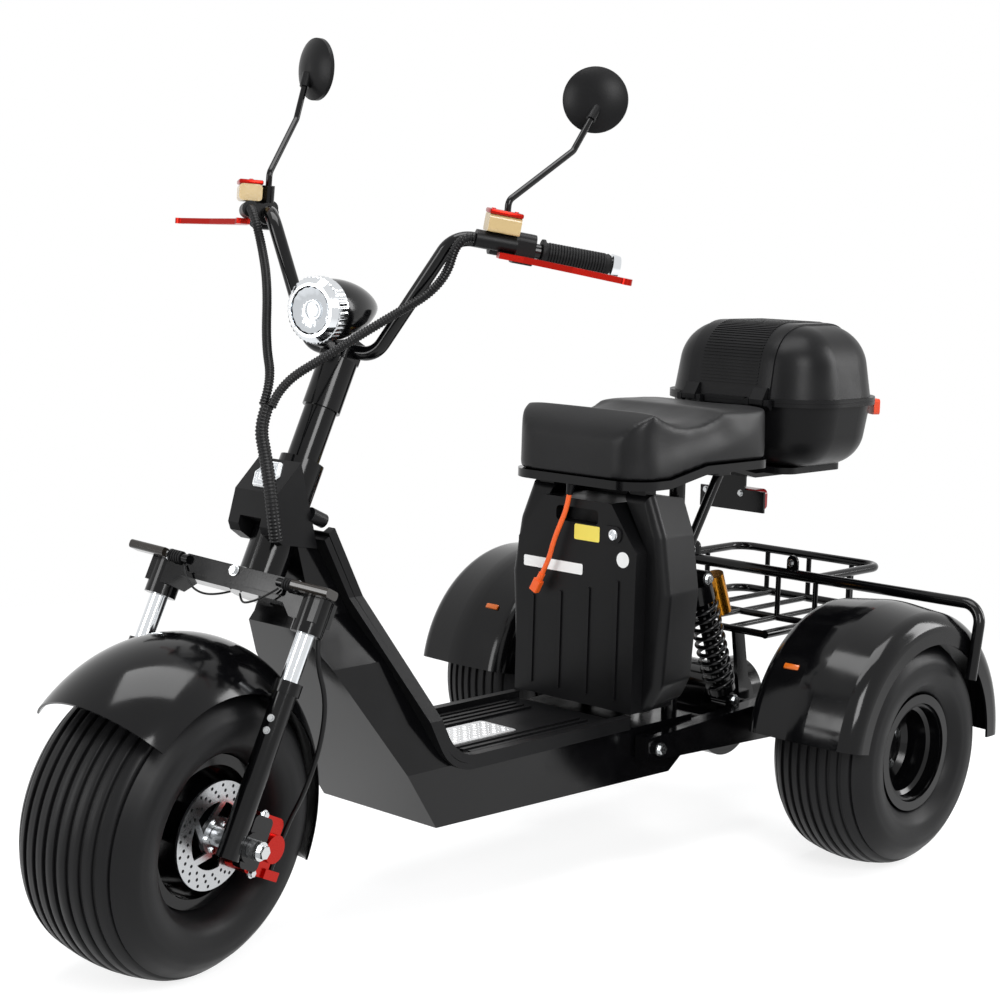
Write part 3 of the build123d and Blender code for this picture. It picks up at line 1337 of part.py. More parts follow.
with BuildPart() as shock_bodies:
    for side in (1, -1):
        # Each ring of the body: from, to along the shock, radius
        for start, end, radius in (
            (18, SPRING_FOOT - SEAT_GAP, SHOCK_CUP_R),
            (4, shock_length - 4, 13),
            (shock_length - SPRING_HEAD + SEAT_GAP, shock_length - 10, SHOCK_CUP_R),
        ):
            with BuildSketch(shock_plane(side, start)):
                Circle(radius)
            extrude(amount=end - start)
        for eye, half in ((SHOCK_FOOT, SHOCK_EYE_HALF), (SHOCK_TOP, SHOCK_HEAD_HALF)):
            with BuildSketch(Plane.XZ.offset(-side * SHOCK_Y)):
                with Locations(eye):
                    Circle(14)
            extrude(amount=half, both=True)
keep(shock_bodies, "shock_bodies")
with BuildPart() as shock_springs:
    for side in (1, -1):
        start = shock_plane(side, SPRING_FOOT + SPRING_WIRE_R)
        with BuildLine() as coil:
            Helix(
                SPRING_PITCH,
                spring_length - 2 * SPRING_WIRE_R,
                SPRING_R,
                center=start.origin,
                direction=start.z_dir,
            )
        with BuildSketch(Plane(coil.line @ 0, z_dir=coil.line % 0)):
            Circle(SPRING_WIRE_R)
        sweep(is_frenet=True)
keep(shock_springs, "shock_springs")
with BuildPart() as shock_reservoirs:
    for side in (1, -1):
        base = shock_plane(side, shock_length - 96)
        with BuildSketch(Plane(base.location * Location((-48, 0, 0)))):
            Circle(17)
        extrude(amount=76)
        with BuildSketch(Plane(base.location * Location((-SHOCK_CUP_R - SEAT_GAP - 10, 0, 60)))):
            Rectangle(20, 22)
        extrude(amount=14)
keep(shock_reservoirs, "shock_reservoirs")

# Rear mudguards: crowned over the tyre, skirted outside, with a flat inner wall bolted to the axle flange
# The section: out along the axle, radius
guard_section = [
    (REAR_FENDER_IN, REAR_FENDER_HUB_R),
    (REAR_FENDER_IN, REAR_FENDER_SHOULDER_R),
    (REAR_TRACK / 2, REAR_FENDER_R),
    (REAR_FENDER_OUT, REAR_FENDER_SHOULDER_R),
    (REAR_FENDER_OUT, REAR_FENDER_EDGE_R),
]
with BuildPart() as rear_fenders:
    for side in (1, -1):
        guard = Plane(
            Location((REAR_AXLE_X, 0, REAR_AXLE_Z), (0, -REAR_FENDER_FRONT, 0))
            * Plane(origin=(0, 0, 0), x_dir=(0, side, 0), z_dir=(0, 0, 1)).location
        )
        with BuildSketch(guard):
            with BuildLine():
                FilletPolyline(*[(y, -side * r) for y, r in guard_section], radius=[30, 150, 30])
            trace(line_width=FENDER_WALL)
        revolve(axis=Axis(guard.origin, (0, 1, 0)), revolution_arc=REAR_FENDER_FRONT - 180)
keep(rear_fenders, "rear_fenders")

# Rack: a long bar over both mudguards, a top ring, a floor ring with slats, and uprights
bar_drop = RACK_TOP_Z - 128
bar_end = REAR_FENDER_OUT + FENDER_WALL / 2 + RACK_LONG_R + SEAT_GAP
with BuildPart() as rear_rack:
    with BuildLine() as long_bar:
        FilletPolyline(
            (RACK_FRONT_X + 24, bar_end, bar_drop),
            (RACK_FRONT_X, bar_end, RACK_TOP_Z),
            (RACK_FRONT_X, -bar_end, RACK_TOP_Z),
            (RACK_FRONT_X + 24, -bar_end, bar_drop),
            radius=34,
        )
    with BuildSketch(Plane(long_bar.line @ 0, z_dir=long_bar.line % 0)):
        Circle(RACK_LONG_R)
    sweep()
    with BuildLine() as top_ring:
        FilletPolyline(
            (RACK_FRONT_X, RACK_HALF, RACK_TOP_Z),
            (RACK_REAR_X, RACK_HALF, RACK_TOP_Z),
            (RACK_REAR_X, -RACK_HALF, RACK_TOP_Z),
            (RACK_FRONT_X, -RACK_HALF, RACK_TOP_Z),
            radius=36,
        )
    with BuildSketch(Plane(top_ring.line @ 0, z_dir=top_ring.line % 0)):
        Circle(RACK_TUBE_R)
    sweep()
    with BuildLine() as floor_ring:
        FilletPolyline(
            (RACK_FOOT_X, RACK_HALF, RACK_FLOOR_Z),
            (RACK_REAR_X, RACK_HALF, RACK_FLOOR_Z),
            (RACK_REAR_X, -RACK_HALF, RACK_FLOOR_Z),
            (RACK_FOOT_X, -RACK_HALF, RACK_FLOOR_Z),
            radius=36,
        )
    with BuildSketch(Plane(floor_ring.line @ 0, z_dir=floor_ring.line % 0)):
        Circle(RACK_TUBE_R)
    sweep()
    # Cross bars and slats of the floor
    for x in (RACK_FOOT_X, RACK_FRONT_X):
        with BuildSketch(Plane.XZ):
            with Locations((x, RACK_FLOOR_Z)):
                Circle(RACK_CROSS_R)
        extrude(amount=RACK_HALF, both=True)
    with BuildSketch(Plane.YZ.offset(RACK_REAR_X)):
        with Locations((-84, RACK_FLOOR_Z), (0, RACK_FLOOR_Z), (84, RACK_FLOOR_Z)):
            Circle(RACK_BAR_R)
    extrude(amount=RACK_FOOT_X - RACK_REAR_X)
    # Uprights between the two rings
    uprights = [(RACK_REAR_X, y) for y in (-100, 0, 100)]
    uprights += [(RACK_FRONT_X, y) for y in (-RACK_HALF, -84, 84, RACK_HALF)]
    uprights += [((RACK_FRONT_X + RACK_REAR_X) / 2, y) for y in (-RACK_HALF, RACK_HALF)]
    with BuildSketch(Plane.XY.offset(RACK_FLOOR_Z)):
        with Locations(*uprights):
            Circle(RACK_BAR_R)
    extrude(amount=RACK_TOP_Z - RACK_FLOOR_Z)
    # Lugs on the long bar
    for y in (-115, 115):
        with BuildSketch(Plane.YZ.offset(RACK_FRONT_X - 2.5)):
            with Locations((y, RACK_TOP_Z + 14)):
                SlotOverall(44, 24, rotation=90)
        extrude(amount=5)
    # Feet that stand on the axle tubes
    for side in (1, -1):
        with BuildSketch(Plane.XZ.offset(-side * 108)):
            foot_low = REAR_AXLE_Z + AXLE_TUBE_R + SEAT_GAP
            with BuildLine():
                Polyline(
                    (REAR_AXLE_X - 16, foot_low),
                    (REAR_AXLE_X + 16, foot_low),
                    (RACK_FOOT_X + 14, RACK_FLOOR_Z),
                    (RACK_FOOT_X - 14, RACK_FLOOR_Z),
                    close=True,
                )
            make_face()
        extrude(amount=4, both=True)
keep(rear_rack, "rear_rack")

# Charging lead: a short free cord from a gland under the tray, with a moulded plug on its end
LEAD_R = 4.5
lead_route = [
    (-183, -8, 628),
    (-182, -12, 602),
    (-179, -24, 573),
    (-177, -36, 542),
    (-176, -44, 511),
    (-175, -58, 484),
]
lead_radii = bend_radii(lead_route)
print("lead radii", [round(r) for r in lead_radii])
with BuildPart() as charge_lead:
    with BuildLine() as lead_line:
        FilletPolyline(*lead_route, radius=lead_radii)
    with BuildSketch(Plane(lead_line.line @ 0, z_dir=lead_line.line % 0)):
        Circle(LEAD_R)
    sweep()
keep(charge_lead, "charge_lead")
with BuildPart() as lead_gland:
    with BuildSketch(Plane(lead_line.line @ 0, z_dir=-(lead_line.line % 0))):
        Circle(LEAD_R + 1)
    extrude(amount=TRAY_LOW - SEAT_GAP - lead_route[0][2] - 0.5, taper=-8)
keep(lead_gland, "lead_gland")
with BuildPart() as charge_plug:
    with BuildSketch(Plane(lead_line.line @ 1, z_dir=lead_line.line % 1)):
        Circle(LEAD_R + 1.5)
    extrude(amount=14)
    plug_tip = (lead_line.line @ 1) + (lead_line.line % 1) * 14
    with BuildSketch(Plane(plug_tip, z_dir=lead_line.line % 1)):
        RectangleRounded(17, 13, 3)
    extrude(amount=22)
keep(charge_plug, "charge_plug")
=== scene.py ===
"""Fat-tyred electric trike scooter with a step-through frame, a rack and a top case: the dressed model.

Metres, +X forward, +Y to the rider's left, +Z up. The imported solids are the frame, and every piece
made here is placed on them.
"""

import json
import math

import bmesh
import bpy
from mathutils import Matrix, Vector
from mathutils.bvhtree import BVHTree


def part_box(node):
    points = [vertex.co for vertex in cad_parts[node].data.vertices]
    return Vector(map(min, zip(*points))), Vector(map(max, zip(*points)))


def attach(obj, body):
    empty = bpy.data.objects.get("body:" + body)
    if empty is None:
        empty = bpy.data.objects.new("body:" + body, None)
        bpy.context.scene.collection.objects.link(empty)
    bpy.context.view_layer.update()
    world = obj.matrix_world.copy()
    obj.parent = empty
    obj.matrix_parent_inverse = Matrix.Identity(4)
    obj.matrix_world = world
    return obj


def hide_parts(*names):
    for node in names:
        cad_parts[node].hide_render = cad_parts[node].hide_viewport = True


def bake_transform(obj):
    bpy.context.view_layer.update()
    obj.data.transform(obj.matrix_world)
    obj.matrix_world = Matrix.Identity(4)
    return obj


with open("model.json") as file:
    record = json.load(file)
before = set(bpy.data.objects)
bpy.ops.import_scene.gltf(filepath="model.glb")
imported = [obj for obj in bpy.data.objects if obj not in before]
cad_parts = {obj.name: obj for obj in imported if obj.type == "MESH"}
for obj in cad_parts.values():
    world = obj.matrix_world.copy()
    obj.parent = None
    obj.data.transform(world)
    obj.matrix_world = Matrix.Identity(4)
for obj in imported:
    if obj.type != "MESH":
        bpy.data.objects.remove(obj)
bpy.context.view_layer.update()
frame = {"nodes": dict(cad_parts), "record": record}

# Camera: a portrait lens a little over a metre up, ahead of the trike and on its left, looking slightly
# down and rolled by a degree or two.
CAMERA_PLACE = Vector((2.427, 2.280, 1.079))
CAMERA_YAW = 0.754
CAMERA_PITCH = 0.133
CAMERA_ROLL = 0.027
CAMERA_LENS = 73.155

look = Vector(
    (
        -math.cos(CAMERA_YAW) * math.cos(CAMERA_PITCH),
        -math.sin(CAMERA_YAW) * math.cos(CAMERA_PITCH),
        -math.sin(CAMERA_PITCH),
    )
)
level = look.cross(Vector((0, 0, 1))).normalized()
upright = level.cross(look)
right = level * math.cos(CAMERA_ROLL) + upright * math.sin(CAMERA_ROLL)
up = upright * math.cos(CAMERA_ROLL) - level * math.sin(CAMERA_ROLL)
camera_data = bpy.data.cameras.new("camera")
camera_data.lens = CAMERA_LENS
camera_data.sensor_width = 36
camera = bpy.data.objects.new("camera", camera_data)
camera.matrix_world = Matrix.Translation(CAMERA_PLACE) @ Matrix((right, up, -look)).transposed().to_4x4()
bpy.context.scene.collection.objects.link(camera)
bpy.context.scene.camera = camera
bpy.context.scene.view_settings.view_transform = "Standard"


# Floor and light: white studio paper that runs out to a white room, under large soft boxes.
# The paper keeps the shadow, and where nothing shades it, it is as white as the room.
def hex_linear(text, alpha=1.0):
    """An sRGB hex colour as linear red, green, blue and alpha."""
    values = [int(text[i : i + 2], 16) / 255 for i in (1, 3, 5)]
    return [v / 12.92 if v <= 0.04045 else ((v + 0.055) / 1.055) ** 2.4 for v in values] + [alpha]


def add_node(tree, kind, inputs=None, **settings):
    """Add a node; inputs gives each socket a value or another node's output."""
    made = tree.nodes.new(kind)
    for name, value in settings.items():
        setattr(made, name, value)
    for socket, value in (inputs or {}).items():
        if isinstance(value, bpy.types.NodeSocket):
            tree.links.new(value, made.inputs[socket])
        else:
            made.inputs[socket].default_value = value
    return made


def blank_material(name):
    """A material with an empty node tree."""
    material = bpy.data.materials.new(name)
    material.use_nodes = True
    material.node_tree.nodes.clear()
    return material


def seen_directly(tree):
    """1 where the camera, a reflection or a clear piece looks straight at the background."""
    path = add_node(tree, "ShaderNodeLightPath")
    seen = path.outputs["Is Camera Ray"]
    for other in ("Is Glossy Ray", "Is Transmission Ray"):
        either = add_node(tree, "ShaderNodeMath", {0: seen, 1: path.outputs[other]}, operation="MAXIMUM")
        seen = either.outputs[0]
    return seen


ROOM_STRENGTH = 0.42
world = bpy.data.worlds.new("studio")
bpy.context.scene.world = world
world.use_nodes = True
tree = world.node_tree
tree.nodes.clear()
white_back = add_node(tree, "ShaderNodeBackground", {"Color": (1, 1, 1, 1), "Strength": 1.0})
room = add_node(tree, "ShaderNodeBackground", {"Color": hex_linear("#E4E8EC"), "Strength": ROOM_STRENGTH})
shown = add_node(
    tree, "ShaderNodeMixShader", {0: seen_directly(tree), 1: room.outputs[0], 2: white_back.outputs[0]}
)
add_node(tree, "ShaderNodeOutputWorld", {"Surface": shown.outputs[0]})

FLOOR_HALF = 9.0
GLOW_SHARE = 0.62
GLOW_STRENGTH = 1.3
FADE_FROM = 1.2
FADE_TO = 2.6
floor_mesh = bpy.data.meshes.new("floor")
floor_mesh.from_pydata(
    [(x * FLOOR_HALF, y * FLOOR_HALF, 0) for x, y in [(-1, -1), (1, -1), (1, 1), (-1, 1)]], [], [(0, 1, 2, 3)]
)
floor = bpy.data.objects.new("floor", floor_mesh)
bpy.context.scene.collection.objects.link(floor)
floor_paper = blank_material("white_paper")
tree = floor_paper.node_tree
paper = add_node(tree, "ShaderNodeBsdfPrincipled", {"Base Color": hex_linear("#F6F6F6"), "Roughness": 0.9})
place = add_node(tree, "ShaderNodeTexCoord").outputs["Object"]
away = add_node(tree, "ShaderNodeVectorMath", {0: place}, operation="LENGTH").outputs["Value"]
reach = {"Value": away, "From Min": FADE_FROM, "From Max": FADE_TO}
strength = add_node(tree, "ShaderNodeMapRange", {**reach, "To Min": GLOW_STRENGTH, "To Max": 1.0})
share = add_node(tree, "ShaderNodeMapRange", {**reach, "To Min": GLOW_SHARE, "To Max": 1.0})
glow = add_node(tree, "ShaderNodeEmission", {"Color": (1, 1, 1, 1), "Strength": strength.outputs[0]})
lit = add_node(tree, "ShaderNodeMixShader", {0: share.outputs[0], 1: paper.outputs[0], 2: glow.outputs[0]})
shown = add_node(
    tree, "ShaderNodeMixShader", {0: seen_directly(tree), 1: paper.outputs[0], 2: lit.outputs[0]}
)
add_node(tree, "ShaderNodeOutputMaterial", {"Surface": shown.outputs[0]})
floor_mesh.materials.append(floor_paper)

# Each soft box: name, place, point it faces, width, height, watts
SOFT_BOXES = [
    ("overhead", (0.2, 0.2, 3.4), (0.0, 0.0, 0.5), 2.6, 1.6, 85),
    ("key", (1.6, 3.4, 2.4), (0.0, 0.0, 0.6), 1.4, 1.8, 100),
    ("front_fill", (3.8, -1.2, 1.5), (0.2, 0.0, 0.5), 1.2, 2.0, 55),
    ("rear_rim", (-3.0, 2.2, 1.9), (-0.5, 0.3, 0.5), 1.0, 2.2, 70),
]
for name, place, target, width, height, watts in SOFT_BOXES:
    lamp = bpy.data.lights.new(name, "AREA")
    lamp.shape = "RECTANGLE"
    lamp.size = width
    lamp.size_y = height
    lamp.energy = watts
    box = bpy.data.objects.new(name, lamp)
    box.location = place
    box.rotation_euler = (Vector(target) - Vector(place)).to_track_quat("-Z", "Y").to_euler()
    bpy.context.scene.collection.objects.link(box)

# Charging lead: a short orange silicone cord that hangs from a gland under the seat tray, with a
# moulded plug on its end. The route repeats the control points of the solid.
LEAD_ROUTE = [
    (-0.183, -0.008, 0.628),
    (-0.182, -0.012, 0.602),
    (-0.179, -0.024, 0.573),
    (-0.177, -0.036, 0.542),
    (-0.176, -0.044, 0.511),
    (-0.175, -0.058, 0.484),
]
LEAD_DIAMETER = 0.009


def smooth_route(name, points, radius):
    """A round cord as a smooth curve that has the points as its control points."""
    curve = bpy.data.curves.new(name, "CURVE")
    curve.dimensions = "3D"
    spline = curve.splines.new("NURBS")
    spline.points.add(len(points) - 1)
    for point, place in zip(spline.points, points):
        point.co = (*place, 1)
    spline.order_u = 3
    spline.use_endpoint_u = True
    spline.resolution_u = 12
    curve.bevel_depth = radius
    curve.bevel_resolution = 5
    curve.use_fill_caps = radius > 0
    return curve


def skin(name, dark, pale, rough, grain_mm, strength, depth, **shader):
    """A surface that isn't metal: two near colours in clouds, uneven gloss and a fine grain."""
    material = blank_material(name)
    tree = material.node_tree
    place = add_node(tree, "ShaderNodeTexCoord").outputs["Object"]
    cloud = add_node(tree, "ShaderNodeTexNoise", {"Vector": place, "Scale": 14.0, "Detail": 4.0})
    grain = add_node(tree, "ShaderNodeTexNoise", {"Vector": place, "Scale": 1000.0 / grain_mm, "Detail": 2.0})
    tint = add_node(
        tree,
        "ShaderNodeMix",
        {0: cloud.outputs["Fac"], 6: hex_linear(dark), 7: hex_linear(pale)},
        data_type="RGBA",
    )
    gloss = add_node(
        tree,
        "ShaderNodeMapRange",
        {
            "Value": cloud.outputs["Fac"],
            "From Min": 0.3,
            "From Max": 0.7,
            "To Min": rough[0],
            "To Max": rough[1],
        },
    )
    bump = add_node(
        tree, "ShaderNodeBump", {"Height": grain.outputs["Fac"], "Strength": strength, "Distance": depth}
    )
    surface = add_node(
        tree,
        "ShaderNodeBsdfPrincipled",
        {"Base Color": tint.outputs[2], "Roughness": gloss.outputs[0], "Normal": bump.outputs[0], **shader},
    )
    add_node(tree, "ShaderNodeOutputMaterial", {"Surface": surface.outputs[0]})
    return material


def dress(material, *nodes):
    """Give CAD nodes one finished material."""
    for name in nodes:
        slots = frame["nodes"][name].data.materials
        slots.clear()
        slots.append(material)


# Silicone rubber, moulded: a soft sheen over an even, slightly dusty orange.
orange_silicone = skin("orange_silicone", "#D94F16", "#EA6424", (0.34, 0.5), 2.0, 0.1, 0.0004, IOR=1.41)
lead_curve = smooth_route("charge_lead_cord", LEAD_ROUTE, LEAD_DIAMETER / 2)
lead_curve.materials.append(orange_silicone)
lead = bpy.data.objects.new("charge_lead_cord", lead_curve)
bpy.context.scene.collection.objects.link(lead)
dress(orange_silicone, "charge_plug")
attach(lead, "chassis")
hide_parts("charge_lead")

# Frame, fork, mudguards and rack: bent tube and pressed sheet, welded, then sprayed with gloss black
# enamel. The enamel is deep black with a faint orange peel and sharp highlights.
black_enamel = skin(
    "black_enamel", "#040405", "#070708", (0.08, 0.18), 3.0, 0.04, 0.0005, **{"Specular IOR Level": 0.24}
)
dress(
    black_enamel,
    "main_frame",
    "swing_frame",
    "rear_rack",
    "seat_struts",
    "case_carrier",
    "tail_bracket",
    "rear_fenders",
    "front_fender",
    "seat_base",
    "fork_lowers",
    "fork_yoke",
    "steering_column",
    "signal_bar",
    "handlebar",
    "bar_clamp",
    "headlamp_shell",
    "mirror_stalks",
    "rear_axle",
    "front_rim",
    "rear_rim_left",
    "rear_rim_right",
    "shock_bodies",
    "shock_springs",
)

# Floor panel, neck shroud, battery case, pillar cover, top case and switch gear: injection-moulded
# ABS, clipped and screwed on. Its spark-eroded grain scatters the light to a soft dark grey.
grained_abs = skin(
    "grained_abs", "#0B0B0C", "#101011", (0.3, 0.42), 1.8, 0.22, 0.0005, **{"Specular IOR Level": 0.14}
)
dress(
    grained_abs,
    "neck_shroud",
    "inner_panel",
    "battery",
    "pillar_cover",
    "case_base",
    "case_tub",
    "case_lid",
    "case_hinges",
    "lid_knuckles",
    "switch_housings",
    "mirror_heads",
    "master_cylinders",
    "lead_gland",
)
# Orange ABS, moulded: an even, fairly glossy signal colour on the latch.
latch_orange = skin("latch_orange", "#CE3A18", "#DC4A22", (0.26, 0.36), 2.0, 0.1, 0.0002, IOR=1.49)
dress(latch_orange, "case_latch")


# Stanchions, disc, axle, levers and shock reservoirs: steel and aluminium, turned or forged, then
# chromed, ground, or anodised red and gold.
def metal(name, colour, rough, mark_mm):
    """Bare, plated or anodised metal with fine marks."""
    material = blank_material(name)
    tree = material.node_tree
    place = add_node(tree, "ShaderNodeTexCoord").outputs["Object"]
    marks = add_node(tree, "ShaderNodeTexNoise", {"Vector": place, "Scale": 1000.0 / mark_mm, "Detail": 3.0})
    gloss = add_node(
        tree,
        "ShaderNodeMapRange",
        {
            "Value": marks.outputs["Fac"],
            "From Min": 0.3,
            "From Max": 0.7,
            "To Min": rough[0],
            "To Max": rough[1],
        },
    )
    surface = add_node(
        tree,
        "ShaderNodeBsdfPrincipled",
        {"Base Color": hex_linear(colour), "Roughness": gloss.outputs[0], "Metallic": 1.0},
    )
    add_node(tree, "ShaderNodeOutputMaterial", {"Surface": surface.outputs[0]})
    return material


# Chrome plate mirrors the room; ground steel is duller, with fine marks; anodised metal keeps a
# coloured, satin reflection.
chrome_plate = metal("chrome_plate", "#D9DCDF", (0.04, 0.10), 6.0)
dress(chrome_plate, "fork_stanchions", "headlamp_ring", "bar_ends")
ground_steel = metal("ground_steel", "#B4B6B8", (0.24, 0.36), 1.2)
dress(ground_steel, "brake_disc", "front_axle")
red_anodised = metal("red_anodised", "#A81E16", (0.22, 0.34), 1.5)
dress(red_anodised, "brake_caliper", "brake_levers")
gold_anodised = metal("gold_anodised", "#CE8A26", (0.2, 0.3), 1.5)
dress(gold_anodised, "shock_reservoirs")

# Tyres: fat tubeless road tyres with straight ribs round the tread, moulded in black rubber and
# seated on the rims. The section is the solid's own, with the grooves cut into it.
TREAD_RIBS = 8
TREAD_SHARE = 0.375
RIB_EDGE = 0.0008
FLANK_STEPS = 16
FLANK_RINGS = (4, 11)
FLANK_LIFT = 0.0012
SHOULDER_DROP = 0.001
TYRE_STEPS = 168
GROOVE_WIDE = 0.006
GROOVE_DEEP = 0.005
joints = {joint["name"]: joint for joint in frame["record"]["behaviour"]["joints"]}


def placed(origin, along, up):
    """A placing matrix: y lies along one direction, z as near as it can to another."""
    y = Vector(along).normalized()
    z = (Vector(up) - y * Vector(up).dot(y)).normalized()
    return Matrix.Translation(Vector(origin)) @ Matrix((y.cross(z), y, z)).transposed().to_4x4()


def surface_of(*names):
    """One search tree over the surfaces of CAD nodes."""
    corners = []
    faces = []
    for name in names:
        mesh = frame["nodes"][name].data
        first = len(corners)
        corners.extend(corner.co.copy() for corner in mesh.vertices)
        faces.extend([first + i for i in face.vertices] for face in mesh.polygons)
    return BVHTree.FromPolygons(corners, faces)


def turn_onto(bm, place, section, steps, closed=False, wave=(0, 0.0), phase=0.0):
    """Turn a section of (along, radius) points about the y axis of a placing matrix."""
    rings = []
    for along, radius in section:
        ring = []
        for step in range(steps):
            angle = 2 * math.pi * step / steps
            reach = radius + wave[1] * math.cos(wave[0] * angle)
            spot = Vector((reach * math.sin(angle + phase), along, reach * math.cos(angle + phase)))
            ring.append(bm.verts.new(place @ spot))
        rings.append(ring)
    pairs = list(zip(rings, rings[1:]))
    if closed:
        pairs.append((rings[-1], rings[0]))
    for near, far in pairs:
        for i in range(steps):
            j = (i + 1) % steps
            bm.faces.new((near[i], near[j], far[j], far[i]))


def close_mesh(bm, name, sharp_deg=40):
    """Turn a bmesh into a mesh: doubles merged, faces outwards, smooth but for its sharp edges."""
    bmesh.ops.remove_doubles(bm, verts=bm.verts, dist=1e-6)
    bmesh.ops.recalc_face_normals(bm, faces=bm.faces)
    mesh = bpy.data.meshes.new(name)
    bm.to_mesh(mesh)
    bm.free()
    mesh.shade_smooth()
    mesh.set_sharp_from_angle(angle=math.radians(sharp_deg))
    return mesh


def fit(mesh, name, finish, body, slot, *stands_for):
    """Make a mesh a piece of the trike: its finish, the body it rides on, if one, and what it stands for."""
    piece = bpy.data.objects.new(name, mesh)
    bpy.context.scene.collection.objects.link(piece)
    mesh.materials.clear()
    mesh.materials.append(finish)
    if body:
        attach(piece, body)
    if stands_for:
        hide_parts(*stands_for)
    return piece


def tyre_section(node, hub, width, bead):
    """Points from bead to bead on the solid's own section, with the tread's grooves cut in."""
    solid = surface_of(node)
    turn = hub.to_3x3()
    back = hub.inverted()
    tread = TREAD_SHARE * width
    reach = {}

    def height(along):
        if along not in reach:
            hit = solid.ray_cast(hub @ Vector((0, along, 0.4)), turn @ Vector((0, 0, -1)))[0]
            reach[along] = (back @ hit).z
        return reach[along]

    def flank(side):
        points = []
        for step in range(FLANK_STEPS + 1):
            radius = bead + (height(side * tread) - SHOULDER_DROP - bead) * step / FLANK_STEPS
            hit = solid.ray_cast(hub @ Vector((0, side * 0.3, radius)), turn @ Vector((0, -side, 0)))[0]
            lift = FLANK_LIFT if step in FLANK_RINGS else 0.0
            points.append(((back @ hit).y + side * lift, radius))
        return points

    crown = []
    pitch = 2 * tread / TREAD_RIBS
    for rib in range(TREAD_RIBS):
        low = -tread + rib * pitch + GROOVE_WIDE / 2
        high = low + pitch - GROOVE_WIDE
        crown.append((low, height(low) - GROOVE_DEEP))
        crown.append((low + RIB_EDGE, height(low + RIB_EDGE) - RIB_EDGE))
        for share in (0.12, 0.5, 0.88):
            at = low + share * (high - low)
            crown.append((at, height(at)))
        crown.append((high - RIB_EDGE, height(high - RIB_EDGE) - RIB_EDGE))
        crown.append((high, height(high) - GROOVE_DEEP))
    return flank(-1) + crown + flank(1)[::-1]


# Tyre rubber, vulcanised: dull charcoal with a fine bloom and a low, patchy sheen.
tyre_rubber = skin(
    "tyre_rubber", "#0C0C0D", "#141415", (0.38, 0.52), 1.6, 0.2, 0.0005, **{"Specular IOR Level": 0.16}
)
# Each tyre: its end, joint, body, solid, width and bead radius
TYRES = [
    ("front", "front_wheel_spin", "front_wheel", "front_tyre", 0.226, 0.1145),
    ("left", "rear_wheel_left_spin", "rear_wheel_left", "rear_tyre_left", 0.200, 0.1020),
    ("right", "rear_wheel_right_spin", "rear_wheel_right", "rear_tyre_right", 0.200, 0.1020),
]
for end, joint, body, node, width, bead in TYRES:
    hub = placed(joints[joint]["pos_m"], joints[joint]["axis"], (0, 0, 1))
    bm = bmesh.new()
    turn_onto(bm, hub, tyre_section(node, hub, width, bead), TYRE_STEPS, closed=True)
    fit(close_mesh(bm, end + "_ribbed_tyre"), end + "_ribbed_tyre", tyre_rubber, body, "tyre_black", node)

# Rear wheel centres: pressed steel dishes, stepped in from the rim's barrel to the hub and painted with
# the rim; five nuts hold each one on.
DISH_THICK = 0.004
DISH = [
    (0.0790, 0.0846),
    (0.0800, 0.0800),
    (0.0620, 0.0785),
    (0.0580, 0.0715),
    (0.0240, 0.0670),
    (0.0140, 0.0600),
    (0.0130, 0.0320),
    (0.0260, 0.0285),
    (0.0290, 0.0160),
    (0.0290, 0.0),
]
for side, body in ((1, "rear_wheel_left"), (-1, "rear_wheel_right")):
    hub = placed(joints[body + "_spin"]["pos_m"], (0, side, 0), (0, 0, 1))
    bm = bmesh.new()
    inner = [(along - DISH_THICK, radius) for along, radius in DISH[::-1]]
    turn_onto(bm, hub, DISH + inner, 72, closed=True)
    fit(close_mesh(bm, body + "_dish", 25), body + "_dish", black_enamel, body, "rim_black")

# Headlamp: a fluted bright reflector with a domed light in its middle, held in the round chrome ring
# of the black shell.
LAMP_AHEAD = 0.077
LAMP_UP = 0.062
BARS_UP = 0.741
RAKE = math.radians(25)
steering = joints["steering_turn"]
fork = placed(steering["pos_m"], joints["front_wheel_spin"]["axis"], steering["axis"])
bars = fork @ Matrix.Translation((0, 0, BARS_UP)) @ Matrix.Rotation(RAKE, 4, "Y")
lamp_place = bars @ placed((LAMP_AHEAD, 0, LAMP_UP), (1, 0, 0), (0, 0, 1))
bm = bmesh.new()
bowl = [(0.0003, 0.0), (0.0004, 0.013), (0.0012, 0.020)]
bowl += [(0.0030, 0.027), (0.0066, 0.0338), (0.0002, 0.0338)]
turn_onto(bm, lamp_place, bowl, 96, wave=(16, 0.0005))
# Vacuum-plated reflector: bright as chrome but broken up by its flutes.
reflector = metal("plated_reflector", "#C9CDD1", (0.08, 0.16), 4.0)
fit(close_mesh(bm, "headlamp_reflector", 20), "headlamp_reflector", reflector, "steering", "chrome")
bm = bmesh.new()
bulb = [(0.0002, 0.0105), (0.0034, 0.0100), (0.0052, 0.0078), (0.0060, 0.0040), (0.0062, 0.0)]
turn_onto(bm, lamp_place, bulb, 40)
ring = [(0.0010, 0.0150), (0.0036, 0.0150), (0.0036, 0.0136), (0.0010, 0.0136)]
turn_onto(bm, lamp_place, ring, 40, closed=True)
# Light lens, cast in clear resin: a milky, glossy white dome.
lens_white = skin("lens_white", "#E9EDF0", "#FFFFFF", (0.08, 0.14), 3.0, 0.05, 0.0002, IOR=1.5)
fit(close_mesh(bm, "headlamp_light"), "headlamp_light", lens_white, "steering", "lamp_white")
bm = bmesh.new()
turn_onto(
    bm,
    lamp_place,
    [(-0.020, 0.0478), (-0.0195, 0.0496), (-0.0015, 0.0496), (-0.001, 0.0478)],
    240,
    closed=True,
    wave=(40, 0.0007),
)
fit(close_mesh(bm, "headlamp_flutes"), "headlamp_flutes", chrome_plate, "steering", "chrome")

